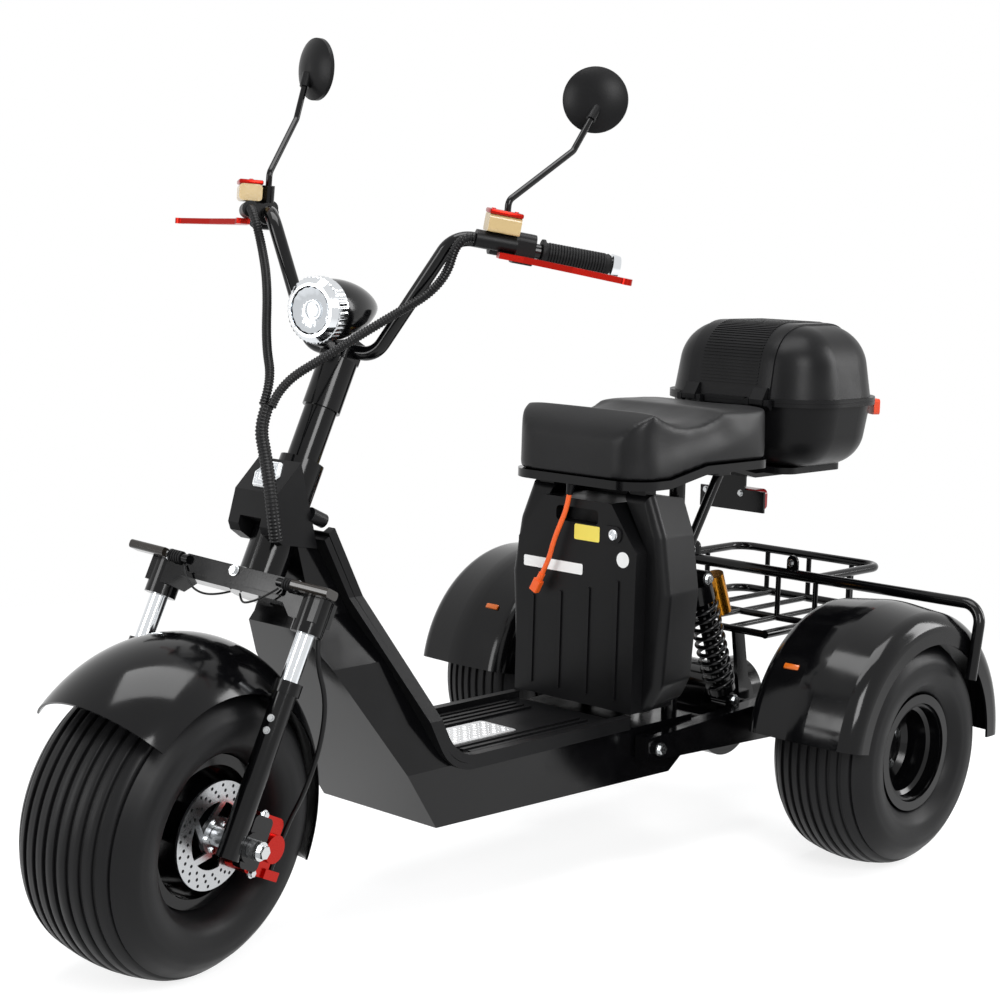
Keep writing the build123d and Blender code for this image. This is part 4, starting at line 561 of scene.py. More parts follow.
# Grips: soft rubber sleeves with a flange at the inner end and close moulded rings, pushed on the bar
# ends and held there by their own grip.
BAR_SHOULDER = Vector((-0.020, 0.173, 0.190))
BAR_TIP = Vector((-0.1883, 0.3413, 0.165))
GRIP_LONG = 0.106
GRIP_R = 0.016
GRIP_BORE = 0.0115
GRIP_START = 0.108
GRIP_RINGS = 20
RING_PITCH = 0.0044
RING_DEEP = 0.0014


def on_bar(side, inward, up=0.0, ahead=0.0):
    """A place on a grip's line, so far in from the bar's tip, above it and ahead of it; y runs outwards."""
    mirror = Vector((1, side, 1))
    tip = BAR_TIP * mirror
    run = (tip - BAR_SHOULDER * mirror).normalized()
    rise = (Vector((0, 0, 1)) - run * run.z).normalized()
    across = (Vector((0, 0, 1)).cross(run) * -side).normalized()
    return bars @ placed(tip - run * inward + rise * up + across * ahead, run, rise)


grip_section = [(0.0, GRIP_BORE), (0.0, 0.019), (0.004, 0.0192), (0.0055, GRIP_R)]
for ring in range(GRIP_RINGS):
    at = 0.010 + ring * RING_PITCH
    grip_section += [(at, GRIP_R - RING_DEEP), (at + 0.0009, GRIP_R)]
    grip_section += [(at + 0.0033, GRIP_R), (at + 0.0042, GRIP_R - RING_DEEP)]
grip_section += [(GRIP_LONG - 0.004, GRIP_R), (GRIP_LONG, GRIP_R - 0.002), (GRIP_LONG, GRIP_BORE)]
# Soft grip rubber: near black and almost without shine.
grip_rubber = skin(
    "grip_rubber", "#0C0C0D", "#131314", (0.5, 0.65), 1.2, 0.2, 0.0004, **{"Specular IOR Level": 0.16}
)
bm = bmesh.new()
for side in (1, -1):
    turn_onto(bm, on_bar(side, GRIP_START), grip_section, 40, closed=True)
fit(close_mesh(bm, "ribbed_grips"), "ribbed_grips", grip_rubber, "steering", "grip_rubber", "grips")

# Brake fluid reservoirs: translucent amber cups on the master cylinders, each under a red cap that is
# held by two small screws.
CAP_THICK = 0.007


def block_onto(bm, place, size, round_by, steps=2):
    """Add a box with rounded edges, centred on a placing matrix."""
    made = bmesh.ops.create_cube(bm, size=1.0, matrix=place @ Matrix.Diagonal((*size, 1)))
    edges = {edge for corner in made["verts"] for edge in corner.link_edges}
    bmesh.ops.bevel(bm, geom=list(edges), offset=round_by, segments=steps, affect="EDGES", profile=0.5)


# Amber polymer, moulded thin: honey-coloured and glossy.
amber_polymer = skin("amber_polymer", "#A9905F", "#C2AA7C", (0.14, 0.22), 4.0, 0.05, 0.0001, IOR=1.5)
dress(amber_polymer, "fluid_reservoirs")
bm = bmesh.new()
for side in (1, -1):
    line = on_bar(side, 0.202)
    cup = [corner.co for corner in frame["nodes"]["fluid_reservoirs"].data.vertices]
    cup = [line.inverted() @ corner for corner in cup if (bars.inverted() @ corner).y * side > 0]
    low = Vector([min(corner[i] for corner in cup) for i in range(3)])
    high = Vector([max(corner[i] for corner in cup) for i in range(3)])
    middle = (low + high) / 2
    top = line @ Matrix.Translation((middle.x, middle.y, high.z + CAP_THICK / 2 - 0.0003))
    block_onto(bm, top, (high.x - low.x + 0.002, high.y - low.y + 0.002, CAP_THICK), 0.0022)
    for end in (-1, 1):
        screw = top @ placed((0, end * 0.36 * (high.y - low.y), CAP_THICK / 2), (0, 0, 1), (0, 1, 0))
        dome = [(-0.001, 0.0034), (0.0008, 0.0034), (0.0014, 0.0026), (0.0008, 0.0012), (0.0006, 0.0)]
        turn_onto(bm, screw, dome, 16)
fit(close_mesh(bm, "reservoir_caps", 30), "reservoir_caps", red_anodised, "steering", "brake_red")

# Mirrors: silvered glass discs with a ground edge, set in the backs of the round black heads and held
# by the lip of each head.
MIRROR_GLASS_R = 0.046
# Each mirror: side, how far back, out and up from its perch, and its turn in degrees
MIRROR_PLACES = [(1, 0.172, 0.022, 0.173, 25), (-1, 0.108, 0.030, 0.184, -20)]
bm = bmesh.new()
for side, back, out, rise, turn in MIRROR_PLACES:
    foot = bars.inverted() @ on_bar(side, 0.165, 0.019).translation
    centre = foot + Vector((-back - 0.005, side * out, rise + 0.030))
    head = bars @ Matrix.Translation(centre) @ Matrix.Rotation(math.radians(turn), 4, "Z")
    disc = [(-0.0005, MIRROR_GLASS_R), (0.0012, MIRROR_GLASS_R - 0.0006)]
    disc += [(0.0016, MIRROR_GLASS_R - 0.003), (0.0018, 0.0)]
    turn_onto(bm, head @ placed((-0.0195, 0, 0), (-1, 0, 0), (0, 0, 1)), disc, 56)
# Silvered glass: an almost perfect, faintly blue mirror.
silvered_glass = metal("silvered_glass", "#C9D2D8", (0.015, 0.03), 8.0)
fit(close_mesh(bm, "mirror_glasses"), "mirror_glasses", silvered_glass, "steering", "chrome")

# Cable looms: corrugated plastic sleeves from both hands that meet ahead of the column and run down into
# the neck, and the plain rubber hose of the front brake. A node tree turns each path into a ribbed tube.
SLEEVE_PITCH = 0.0045


def start_tree(name, sizes):
    """A geometry tree with named sizes and a finish as its inputs."""
    tree = bpy.data.node_groups.new(name, "GeometryNodeTree")
    tree.interface.new_socket("Geometry", in_out="INPUT", socket_type="NodeSocketGeometry")
    for size in sizes:
        tree.interface.new_socket(size, in_out="INPUT", socket_type="NodeSocketFloat")
    tree.interface.new_socket("Finish", in_out="INPUT", socket_type="NodeSocketMaterial")
    tree.interface.new_socket("Geometry", in_out="OUTPUT", socket_type="NodeSocketGeometry")
    return tree, add_node(tree, "NodeGroupInput").outputs


def end_tree(tree, given, made):
    """Close a geometry tree: real geometry in its finish."""
    real = add_node(tree, "GeometryNodeRealizeInstances", {"Geometry": made})
    done = add_node(
        tree, "GeometryNodeSetMaterial", {"Geometry": real.outputs[0], "Material": given["Finish"]}
    )
    add_node(tree, "NodeGroupOutput", {"Geometry": done.outputs[0]})


def grow(source, tree, **inputs):
    """Run a geometry tree over a curve or mesh and give back the plain mesh."""
    holder = bpy.data.objects.new("growing", source)
    bpy.context.scene.collection.objects.link(holder)
    modifier = holder.modifiers.new("nodes", "NODES")
    modifier.node_group = tree
    for socket in tree.interface.items_tree:
        if socket.in_out == "INPUT" and socket.name in inputs:
            modifier[socket.identifier] = inputs[socket.name]
    evaluated = holder.evaluated_get(bpy.context.evaluated_depsgraph_get())
    mesh = bpy.data.meshes.new_from_object(evaluated)
    holder.modifiers.remove(modifier)
    bpy.data.objects.remove(holder)
    return mesh


sleeve_tree, given = start_tree("corrugated_sleeve", ["Radius", "Pitch", "Depth"])
quarter = add_node(sleeve_tree, "ShaderNodeMath", {0: given["Pitch"], 1: 4.0}, operation="DIVIDE")
stations = add_node(
    sleeve_tree,
    "GeometryNodeResampleCurve",
    {"Curve": given["Geometry"], "Length": quarter.outputs[0]},
    mode="LENGTH",
)
run_length = add_node(sleeve_tree, "GeometryNodeSplineParameter").outputs["Length"]
turns = add_node(sleeve_tree, "ShaderNodeMath", {0: run_length, 1: given["Pitch"]}, operation="DIVIDE")
angle = add_node(
    sleeve_tree, "ShaderNodeMath", {0: turns.outputs[0], 1: 2 * math.pi}, operation="MULTIPLY"
)
ripple = add_node(sleeve_tree, "ShaderNodeMath", {0: angle.outputs[0]}, operation="SINE")
swell = add_node(
    sleeve_tree,
    "ShaderNodeMath",
    {0: ripple.outputs[0], 1: given["Depth"], 2: given["Radius"]},
    operation="MULTIPLY_ADD",
)
circle = add_node(sleeve_tree, "GeometryNodeCurvePrimitiveCircle", {"Resolution": 14, "Radius": 1.0})
tube = add_node(
    sleeve_tree,
    "GeometryNodeCurveToMesh",
    {
        "Curve": stations.outputs[0],
        "Profile Curve": circle.outputs[0],
        "Scale": swell.outputs[0],
        "Fill Caps": True,
    },
)
soft = add_node(sleeve_tree, "GeometryNodeSetShadeSmooth", {"Geometry": tube.outputs[0]})
end_tree(sleeve_tree, given, soft.outputs[0])

# Polyethylene sleeve, blown: black with a waxy sheen on each ring.
sleeve_black = skin(
    "sleeve_black", "#080809", "#0E0E0F", (0.3, 0.42), 1.5, 0.1, 0.0003, **{"Specular IOR Level": 0.2}
)
LOOM_LEFT = [
    (0.038, 0.168, 0.852),
    (0.070, 0.108, 0.773),
    (0.094, 0.054, 0.702),
    (0.104, -0.005, 0.642),
    (0.104, -0.005, 0.606),
]
LOOM_RIGHT = [
    (0.066, -0.166, 0.867),
    (0.081, -0.113, 0.799),
    (0.095, -0.064, 0.701),
    (0.104, -0.021, 0.645),
    (0.104, -0.021, 0.606),
]
HOSE = [
    (0.019, 0.151, 0.3057),
    (0.012, 0.157, 0.2737),
    (-0.022, 0.170, 0.230),
    (-0.038, 0.176, 0.165),
    (-0.060, 0.160, 0.095),
    (-0.092, 0.1257, 0.042),
    (-0.092, 0.1257, -0.0217),
]
TRUNK = [
    (0.1046, 0.0071, 0.6057),
    (0.1046, 0.0071, 0.574),
    (0.092, 0.024, 0.538),
    (0.084, 0.046, 0.498),
    (0.072, 0.0593, 0.460),
    (0.046, 0.0583, 0.424),
]
loom = bmesh.new()
for side, branch in ((1, LOOM_LEFT), (-1, LOOM_RIGHT)):
    points = [on_bar(side, inward, 0.004, 0.030).translation for inward in (0.2143, 0.240)]
    points += [fork @ Vector(point) for point in branch]
    path = smooth_route("loom_path", points, 0.0)
    sizes = {"Radius": 0.0066, "Pitch": SLEEVE_PITCH, "Depth": 0.0007}
    loom.from_mesh(grow(path, sleeve_tree, **sizes, Finish=sleeve_black))
hose_path = smooth_route("hose_path", [fork @ Vector(point) for point in HOSE], 0.0)
sizes = {"Radius": 0.0036, "Pitch": SLEEVE_PITCH, "Depth": 0.0}
loom.from_mesh(grow(hose_path, sleeve_tree, **sizes, Finish=sleeve_black))
loom_mesh = close_mesh(loom, "bar_looms", 60)
fit(loom_mesh, "bar_looms", sleeve_black, "steering", "cable_black", "bar_cables")
neck = placed(steering["pos_m"], (0, 1, 0), steering["axis"])
trunk_path = smooth_route("trunk_path", [neck @ Vector(point) for point in TRUNK], 0.0)
trunk_mesh = grow(trunk_path, sleeve_tree, Radius=0.0094, Pitch=0.0052, Depth=0.0009, Finish=sleeve_black)
trunk = fit(trunk_mesh, "neck_loom", sleeve_black, None, "cable_black", "cable_trunk")
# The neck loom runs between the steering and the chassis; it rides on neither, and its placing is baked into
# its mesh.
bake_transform(trunk)

# Turn signals: smoked lenses on short ribbed rubber stalks that are nutted to the bar on the yoke, with
# a thin wire from each nut that tucks in under the yoke.
SIGNAL_X = 0.066
SIGNAL_Z = 0.365
# Smoked acrylic: brown-grey, dark and very glossy.
smoked_acrylic = skin("smoked_acrylic", "#1B1815", "#27231F", (0.06, 0.12), 4.0, 0.04, 0.0001, IOR=1.49)
dress(smoked_acrylic, "turn_signals")
bm = bmesh.new()
stalk_section = [(0.0975, 0.0), (0.0975, 0.0088)]
for ring in range(5):
    at = 0.0982 + ring * 0.0044
    stalk_section += [(at, 0.0092), (at + 0.0026, 0.0092), (at + 0.0030, 0.0078), (at + 0.0042, 0.0078)]
stalk_section += [(0.1208, 0.0092), (0.1208, 0.0)]
for side in (1, -1):
    turn_onto(bm, fork @ placed((SIGNAL_X, 0, SIGNAL_Z), (0, side, 0), (0, 0, 1)), stalk_section, 28)
fit(close_mesh(bm, "signal_stalks"), "signal_stalks", grip_rubber, "steering", "grip_rubber")
WIRES = [
    [
        (0.067, -0.090, 0.356),
        (0.070, -0.078, 0.340),
        (0.066, -0.055, 0.322),
        (0.052, -0.030, 0.324),
        (0.040, -0.012, 0.338),
    ],
    [
        (0.067, 0.090, 0.356),
        (0.071, 0.074, 0.338),
        (0.067, 0.045, 0.324),
        (0.052, 0.022, 0.326),
        (0.040, 0.006, 0.338),
    ],
]
wires = bmesh.new()
for route in WIRES:
    path = smooth_route("wire_path", [fork @ Vector(point) for point in route], 0.0)
    wires.from_mesh(grow(path, sleeve_tree, Radius=0.0016, Pitch=0.006, Depth=0.0, Finish=sleeve_black))
fit(close_mesh(wires, "signal_wires", 60), "signal_wires", sleeve_black, "steering", "cable_black")

# Neck lamp: a white moulded lamp let into the front of the neck shroud, with stepped hexagonal rings
# round its light.
LAMP_TOP = Vector((0.042, 0, 0.546))
LAMP_FOOT = Vector((0.064, 0, 0.488))
dress(lens_white, "neck_lamp")
slope = (LAMP_TOP - LAMP_FOOT).normalized()
facing = Vector((slope.z, 0, -slope.x))
lamp_surface = surface_of("neck_lamp")
lamp_middle = neck @ ((LAMP_TOP + LAMP_FOOT) / 2)
lamp_facing = neck.to_3x3() @ facing
lamp_hit = lamp_surface.ray_cast(lamp_middle + 0.05 * lamp_facing, -lamp_facing)[0]
lamp_seat = placed(lamp_hit, lamp_facing, neck.to_3x3() @ slope)
bm = bmesh.new()
for radius in (0.0235, 0.0185):
    ring = [(-0.0008, radius), (0.0012, radius - 0.0004)]
    ring += [(0.0012, radius - 0.0026), (-0.0008, radius - 0.003)]
    turn_onto(bm, lamp_seat, ring, 6, closed=True, phase=math.pi / 2)
light = [(-0.0006, 0.0125), (0.0008, 0.0122), (0.0022, 0.008), (0.0026, 0.0)]
turn_onto(bm, lamp_seat, light, 6, phase=math.pi / 2)
fit(close_mesh(bm, "neck_lamp_rings", 20), "neck_lamp_rings", chrome_plate, "chassis", "lamp_white")

# Tread plate: rolled chequer plate let into the foot board. A node tree sets a small raised lozenge on
# each point of two crossed rows.
LOZENGE_PITCH = 0.0115
PLATE_MARGIN = 0.016
# Bright rolled aluminium: pale and satin, so it stays light beside the black mouldings.
rolled_aluminium = metal("rolled_aluminium", "#E2E3E4", (0.38, 0.5), 1.2)
dress(rolled_aluminium, "tread_plate")
plate_low, plate_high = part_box("tread_plate")
chequer_tree, given = start_tree("chequer_lozenges", ["Long", "Wide", "High"])
drop = add_node(chequer_tree, "GeometryNodeMeshUVSphere", {"Segments": 8, "Rings": 4, "Radius": 1.0})
stretch = add_node(
    chequer_tree, "ShaderNodeCombineXYZ", {"X": given["Long"], "Y": given["Wide"], "Z": given["High"]}
)
turned = add_node(
    chequer_tree, "GeometryNodeInputNamedAttribute", {"Name": "turn"}, data_type="FLOAT_VECTOR"
)
laid = add_node(
    chequer_tree,
    "GeometryNodeInstanceOnPoints",
    {
        "Points": given["Geometry"],
        "Instance": drop.outputs["Mesh"],
        "Rotation": turned.outputs["Attribute"],
        "Scale": stretch.outputs[0],
    },
)
end_tree(chequer_tree, given, laid.outputs[0])
spots = []
turns = []
columns = int((plate_high.x - plate_low.x - PLATE_MARGIN) / LOZENGE_PITCH)
rows = int((plate_high.y - plate_low.y - PLATE_MARGIN) / LOZENGE_PITCH)
for column in range(columns + 1):
    for row in range(rows + 1):
        x = (plate_low.x + plate_high.x) / 2 + (column - columns / 2) * LOZENGE_PITCH
        y = (plate_low.y + plate_high.y) / 2 + (row - rows / 2) * LOZENGE_PITCH
        spots.append((x, y, plate_high.z))
        turns += [0.0, 0.0, math.radians(45 if (column + row) % 2 else -45)]
grid = bpy.data.meshes.new("chequer_grid")
grid.from_pydata(spots, [], [])
grid.attributes.new("turn", "FLOAT_VECTOR", "POINT").data.foreach_set("vector", turns)
chequer = grow(grid, chequer_tree, Long=0.0052, Wide=0.0018, High=0.0012, Finish=rolled_aluminium)
chequer.shade_smooth()
fit(chequer, "chequer_lozenges", rolled_aluminium, "chassis", "bright_steel")

# Battery front: a chromed key lock on a black bezel, pressed into the moulded case, with a round seal and
# two blank vinyl stickers beside it.
battery_face = surface_of("battery", "pillar_cover")


def patch_onto(bm, y, z, half_wide, half_tall, corner, thick):
    """Add a thin rounded plate on the battery's front, which faces forward."""
    hit = battery_face.ray_cast(Vector((0.0, y, z)), Vector((-1, 0, 0)))[0]
    outline = []
    for sy, sz, start in ((1, 1, 0), (-1, 1, 90), (-1, -1, 180), (1, -1, 270)):
        for step in range(7):
            angle = math.radians(start + 15 * step)
            outline.append(
                (
                    y + sy * (half_wide - corner) + corner * math.cos(angle),
                    z + sz * (half_tall - corner) + corner * math.sin(angle),
                )
            )
    rings = [[bm.verts.new((hit.x + x, a, b)) for a, b in outline] for x in (-0.0003, thick)]
    count = len(outline)
    for i in range(count):
        bm.faces.new((rings[0][i], rings[0][(i + 1) % count], rings[1][(i + 1) % count], rings[1][i]))
    bm.faces.new(rings[1])
    bm.faces.new(rings[0][::-1])
    return hit.x


# Sticker vinyl, printed plain: matt, with softly rounded corners.
sticker_yellow = skin("sticker_yellow", "#DDC746", "#E8D65E", (0.4, 0.5), 3.0, 0.05, 0.0002)
sticker_white = skin("sticker_white", "#DCDCDA", "#EBEBEA", (0.4, 0.5), 3.0, 0.05, 0.0002)
for name, y, z, wide, tall, finish in [
    ("yellow_sticker", 0.024, 0.5635, 0.0285, 0.0135, sticker_yellow),
    ("white_sticker", -0.052, 0.4985, 0.0685, 0.0095, sticker_white),
]:
    bm = bmesh.new()
    patch_onto(bm, y, z, wide, tall, 0.003, 0.0005)
    fit(close_mesh(bm, name), name, finish, "chassis", "lamp_white")
bm = bmesh.new()
patch_onto(bm, 0.106, 0.527, 0.0135, 0.0135, 0.0134, 0.0006)
fit(close_mesh(bm, "round_seal"), "round_seal", sticker_white, "chassis", "lamp_white")
bm = bmesh.new()
lock_x = patch_onto(bm, 0.080, 0.568, 0.022, 0.014, 0.012, 0.003)
fit(close_mesh(bm, "lock_bezel"), "lock_bezel", grip_rubber, "chassis", "matte_black")
bm = bmesh.new()
lock_place = placed((lock_x + 0.003, 0.086, 0.568), (1, 0, 0), (0, 0, 1))
barrel = [(-0.0005, 0.0098), (0.0022, 0.0094), (0.0030, 0.0084)]
barrel += [(0.0030, 0.0058), (0.0016, 0.0054), (0.0016, 0.0)]
turn_onto(bm, lock_place, barrel, 36)
fit(close_mesh(bm, "lock_barrel"), "lock_barrel", chrome_plate, "chassis", "bright_steel")

# Seat: a moulded foam block under stretched vinyl, stapled to the tray. Blown up a little as cloth, with
# its underside held, it gets a soft crown, and the swelling is eased so that the cover lies smooth.
SEAT_VOXEL = 0.005
SEAT_SWELL = 0.005
SEAT_EASE = 24
SEAT_SMOOTHING = 5
SEAT_FRAMES = 20
HELD_RIM = 0.012
HELD_SKIRT = 0.03
seat_low, seat_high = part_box("seat_cushion")
bm = bmesh.new()
bm.from_mesh(frame["nodes"]["seat_cushion"].data)
bmesh.ops.remove_doubles(bm, verts=bm.verts, dist=1e-5)
block = bpy.data.meshes.new("seat_block")
bm.to_mesh(block)
bm.free()
foam = bpy.data.objects.new("seat_foam", block)
bpy.context.scene.collection.objects.link(foam)
remesh = foam.modifiers.new("voxels", "REMESH")
remesh.mode = "VOXEL"
remesh.voxel_size = SEAT_VOXEL
cover = bpy.data.meshes.new_from_object(foam.evaluated_get(bpy.context.evaluated_depsgraph_get()))
bpy.data.objects.remove(foam)
bm = bmesh.new()
bm.from_mesh(cover)
every_axis = {"use_axis_x": True, "use_axis_y": True, "use_axis_z": True}
for _ in range(SEAT_SMOOTHING):
    bmesh.ops.smooth_vert(bm, verts=bm.verts, factor=0.5, **every_axis)
bm.to_mesh(cover)
bm.free()
cover.materials.clear()
rest = [corner.co.copy() for corner in cover.vertices]
under = surface_of("seat_cushion")
held = []
for corner in cover.vertices:
    column = under.ray_cast(Vector((corner.co.x, corner.co.y, seat_low.z - 0.05)), Vector((0, 0, 1)))[0]
    limit = column.z + HELD_RIM if column else seat_low.z + HELD_SKIRT
    if corner.co.z < limit:
        held.append(corner.index)
seat = bpy.data.objects.new("seat_cover", cover)
bpy.context.scene.collection.objects.link(seat)
group = seat.vertex_groups.new(name="held")
group.add(held, 1.0, "REPLACE")
cloth = seat.modifiers.new("cloth", "CLOTH")
cloth.settings.use_pressure = True
cloth.settings.uniform_pressure_force = 4.0
cloth.settings.effector_weights.gravity = 0.0
cloth.settings.vertex_group_mass = "held"
cloth.settings.quality = 4
scene = bpy.context.scene
for step in range(1, SEAT_FRAMES + 1):
    scene.frame_set(step)
blown = bpy.data.meshes.new_from_object(seat.evaluated_get(bpy.context.evaluated_depsgraph_get()))
scene.frame_set(1)
seat.modifiers.remove(cloth)
seat.vertex_groups.clear()
moves = [end.co - start for start, end in zip(rest, blown.vertices)]
moves = [move * min(1.0, SEAT_SWELL / max(move.length, 1e-9)) for move in moves]
beside = [[] for _ in rest]
for edge in cover.edges:
    a, b = edge.vertices
    beside[a].append(b)
    beside[b].append(a)
for _ in range(SEAT_EASE):
    moves = [
        (move + sum((moves[j] for j in near), Vector()) / len(near)) / 2
        for move, near in zip(moves, beside)
    ]
for corner, start, move in zip(cover.vertices, rest, moves):
    corner.co = start + move
bpy.data.meshes.remove(blown)
for corner in cover.vertices:
    corner.co.z = max(corner.co.z, seat_low.z + 0.0003)
cover.shade_smooth()
soften = seat.modifiers.new("soften", "SUBSURF")
soften.levels = 1
soften.render_levels = 1
# Vinyl seat cover, embossed: soft black with a leather grain drawn a little coarse so that it shows.
seat_vinyl = skin(
    "seat_vinyl", "#0E0E0F", "#141415", (0.34, 0.46), 2.4, 0.26, 0.0006, **{"Specular IOR Level": 0.2}
)
cover.materials.append(seat_vinyl)
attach(seat, "chassis")
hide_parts("seat_cushion")

# Top case lid: close moulded ridges run across the raised middle band of the lid, from its front edge to
# its back. A node tree lays one bar on each point of the lid's own outline.
RIDGE_PITCH = 0.0058
RIDGE_HALF = 0.066
LID_MIDDLE = Vector((-0.750, 0, 0.776))
RIDGE_LOWEST = 0.030
RIDGE_ARC = 80
STEPS_A_DEGREE = 4
ridge_tree, given = start_tree("lid_ridges", ["Wide", "Long", "High"])
bar_size = add_node(
    ridge_tree, "ShaderNodeCombineXYZ", {"X": given["Wide"], "Y": given["Long"], "Z": given["High"]}
)
bar = add_node(ridge_tree, "GeometryNodeMeshCube", {"Size": bar_size.outputs[0]})
out = add_node(ridge_tree, "GeometryNodeInputNamedAttribute", {"Name": "facing"}, data_type="FLOAT_VECTOR")
aim = add_node(
    ridge_tree,
    "FunctionNodeAlignRotationToVector",
    {"Vector": out.outputs["Attribute"]},
    axis="Z",
    pivot_axis="Y",
)
laid = add_node(
    ridge_tree,
    "GeometryNodeInstanceOnPoints",
    {"Points": given["Geometry"], "Instance": bar.outputs["Mesh"], "Rotation": aim.outputs[0]},
)
end_tree(ridge_tree, given, laid.outputs[0])
lid_face = surface_of("case_lid")
spots = []
facings = []
for step in range(2 * RIDGE_ARC * STEPS_A_DEGREE + 1):
    angle = math.radians(-RIDGE_ARC + step / STEPS_A_DEGREE)
    way = Vector((math.sin(angle), 0, math.cos(angle)))
    hit, normal, _, _ = lid_face.ray_cast(LID_MIDDLE + 0.5 * way, -way)
    if hit is None or hit.z < LID_MIDDLE.z + RIDGE_LOWEST:
        continue
    if spots and (hit - spots[-1]).length < RIDGE_PITCH:
        continue
    spots.append(hit)
    facings += [normal.x, 0.0, normal.z]
line = bpy.data.meshes.new("ridge_line")
line.from_pydata(spots, [], [])
line.attributes.new("facing", "FLOAT_VECTOR", "POINT").data.foreach_set("vector", facings)
ridges = grow(line, ridge_tree, Wide=0.0026, Long=2 * RIDGE_HALF, High=0.0026, Finish=grained_abs)
fit(ridges, "lid_ridges", grained_abs, "lid", "matte_black")

# Tail lamp: a red moulded lens, screwed to the bracket under the top case.
# The acrylic is a deep, clear-looking red with a hard gloss.
red_acrylic = skin("red_acrylic", "#7A0D10", "#95161A", (0.1, 0.18), 4.0, 0.05, 0.0001, IOR=1.49)
dress(red_acrylic, "tail_lamp")

# Side markers: small amber reflectors riveted to the fronts of the rear mudguards.
# The acrylic is orange with a hard gloss.
amber_acrylic = skin("amber_acrylic", "#B4520E", "#C9651A", (0.1, 0.18), 4.0, 0.05, 0.0001, IOR=1.49)
guard_face = surface_of("rear_fenders")
bm = bmesh.new()
for side in (1, -1):
    way = Vector((0.80, side * -0.11, 0.59)).normalized()
    hit = guard_face.ray_cast(Vector((-0.3587, side * 0.348, 0.3604)) + 0.05 * way, -way)[0]
    block_onto(bm, placed(hit, (0, 1, 0), way), (0.010, 0.030, 0.006), 0.0018)
fit(close_mesh(bm, "side_markers", 30), "side_markers", amber_acrylic, "chassis", "fluid_amber")

# Bolts and nuts: plated hexagon heads on washers, wherever the frame, fork, shocks, rack and brake are
# screwed together. One node tree sets a head on each point, turned to face out and scaled to size.
BOLT_SEARCH = 0.06
bolt_tree, given = start_tree("hexagon_bolts", [])
head = add_node(bolt_tree, "GeometryNodeMeshCylinder", {"Vertices": 6, "Radius": 0.56, "Depth": 0.44})
head_up = add_node(
    bolt_tree, "GeometryNodeTransform", {"Geometry": head.outputs["Mesh"], "Translation": (0, 0, 0.32)}
)
washer = add_node(bolt_tree, "GeometryNodeMeshCylinder", {"Vertices": 20, "Radius": 0.78, "Depth": 0.24})
both = add_node(bolt_tree, "GeometryNodeJoinGeometry", {"Geometry": head_up.outputs[0]})
bolt_tree.links.new(washer.outputs["Mesh"], both.inputs["Geometry"])
out = add_node(bolt_tree, "GeometryNodeInputNamedAttribute", {"Name": "facing"}, data_type="FLOAT_VECTOR")
aim = add_node(bolt_tree, "FunctionNodeAlignRotationToVector", {"Vector": out.outputs["Attribute"]}, axis="Z")
across = add_node(bolt_tree, "GeometryNodeInputNamedAttribute", {"Name": "across"}, data_type="FLOAT")
laid = add_node(
    bolt_tree,
    "GeometryNodeInstanceOnPoints",
    {
        "Points": given["Geometry"],
        "Instance": both.outputs[0],
        "Rotation": aim.outputs[0],
        "Scale": across.outputs["Attribute"],
    },
)
end_tree(bolt_tree, given, laid.outputs[0])
# Zinc-plated steel: pale grey and a little dull.
zinc_plate = metal("zinc_plate", "#C3C5C6", (0.16, 0.28), 1.0)
fork_turn = fork.to_3x3()
outwards = fork_turn @ Vector((0, 1, 0))
axle = Vector(joints["front_wheel_spin"]["pos_m"])
axle_way = Vector(joints["front_wheel_spin"]["axis"])
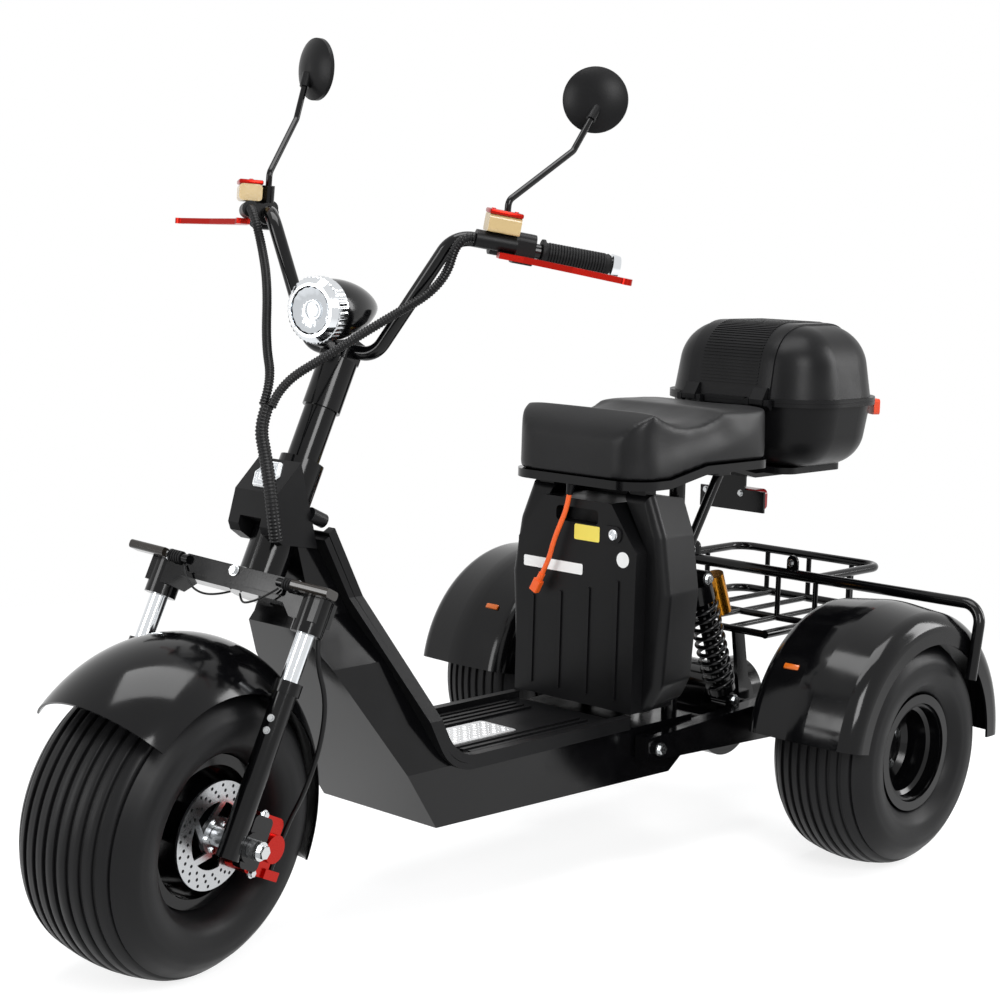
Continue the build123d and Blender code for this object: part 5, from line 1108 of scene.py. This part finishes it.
# Each bolt: the nodes it may sit on, its place, the way it faces, and the width across its head; a bolt
# with no nodes sits at its place as it is
BOLTS = {
    "chassis": [
        (("rear_rack",), (-0.679, -0.1185, 0.4705), (1, 0, 0), 0.010),
        (("rear_rack",), (-0.679, 0.1116, 0.4736), (1, 0, 0), 0.010),
        (("tail_bracket",), (-0.637, 0.0206, 0.5988), (1, 0, 0), 0.008),
        (("tail_bracket",), (-0.637, -0.0607, 0.5976), (1, 0, 0), 0.008),
    ],
    "steering": [
        (("signal_bar", "fork_yoke"), fork @ Vector((0.063, 0, 0.366)), fork_turn @ Vector((1, 0, 0)), 0.011),
        ((), (0.6042, 0.1245, 0.2428), outwards, 0.010),
        (("brake_caliper",), (0.6245, 0.1216, 0.1611), outwards, 0.010),
        (("fork_lowers",), (0.6158, 0.1508, 0.3908), (0.83, 0.40, 0.39), 0.007),
        (("fork_lowers",), (0.6234, 0.1508, 0.3745), (0.83, 0.40, 0.39), 0.007),
    ],
    "front_wheel": [],
    "rear_wheel_left": [],
    "rear_wheel_right": [],
}
for side in (1, -1):
    stalk = fork @ Vector((SIGNAL_X, side * 0.092, SIGNAL_Z))
    BOLTS["chassis"] += [
        (("shock_bodies", "seat_base"), (-0.392, side * 0.139, 0.478), (0, side, 0), 0.013),
        (("shock_bodies", "swing_frame"), (-0.486, side * 0.130, 0.246), (0, side, 0), 0.013),
        (("swing_frame", "main_frame"), (-0.233, side * 0.173, 0.205), (0, side, 0), 0.015),
    ]
    BOLTS["steering"] += [
        (("front_axle",), axle + axle_way * side * 0.165, axle_way * side, 0.018),
        (("signal_bar", "turn_signals"), stalk, outwards * side, 0.012),
    ]
wheel = placed(axle, axle_way, (0, 0, 1))
for step in range(5):
    turn = math.radians(72 * step + 18)
    spot = wheel @ Vector((0.020 * math.sin(turn), 0.090, 0.020 * math.cos(turn)))
    BOLTS["front_wheel"].append((("brake_disc",), spot, axle_way, 0.007))
for side, body in ((1, "rear_wheel_left"), (-1, "rear_wheel_right")):
    for step in range(5):
        turn = math.radians(72 * step)
        spot = Vector((0.046 * math.sin(turn), side * 0.0135, 0.046 * math.cos(turn)))
        BOLTS[body].append(((), Vector(joints[body + "_spin"]["pos_m"]) + spot, (0, side, 0), 0.012))
for body, bolts in BOLTS.items():
    spots = []
    facings = []
    sizes = []
    for nodes, place, way, size in bolts:
        way = Vector(way).normalized()
        spot = Vector(place)
        if nodes:
            spot = surface_of(*nodes).ray_cast(spot + BOLT_SEARCH * way, -way, 2 * BOLT_SEARCH)[0]
        spots.append(spot)
        facings += list(way)
        sizes.append(size)
    points = bpy.data.meshes.new(body + "_bolt_points")
    points.from_pydata(spots, [], [])
    points.attributes.new("facing", "FLOAT_VECTOR", "POINT").data.foreach_set("vector", facings)
    points.attributes.new("across", "FLOAT", "POINT").data.foreach_set("value", sizes)
    fit(grow(points, bolt_tree, Finish=zinc_plate), body + "_bolts", zinc_plate, body, "bright_steel")
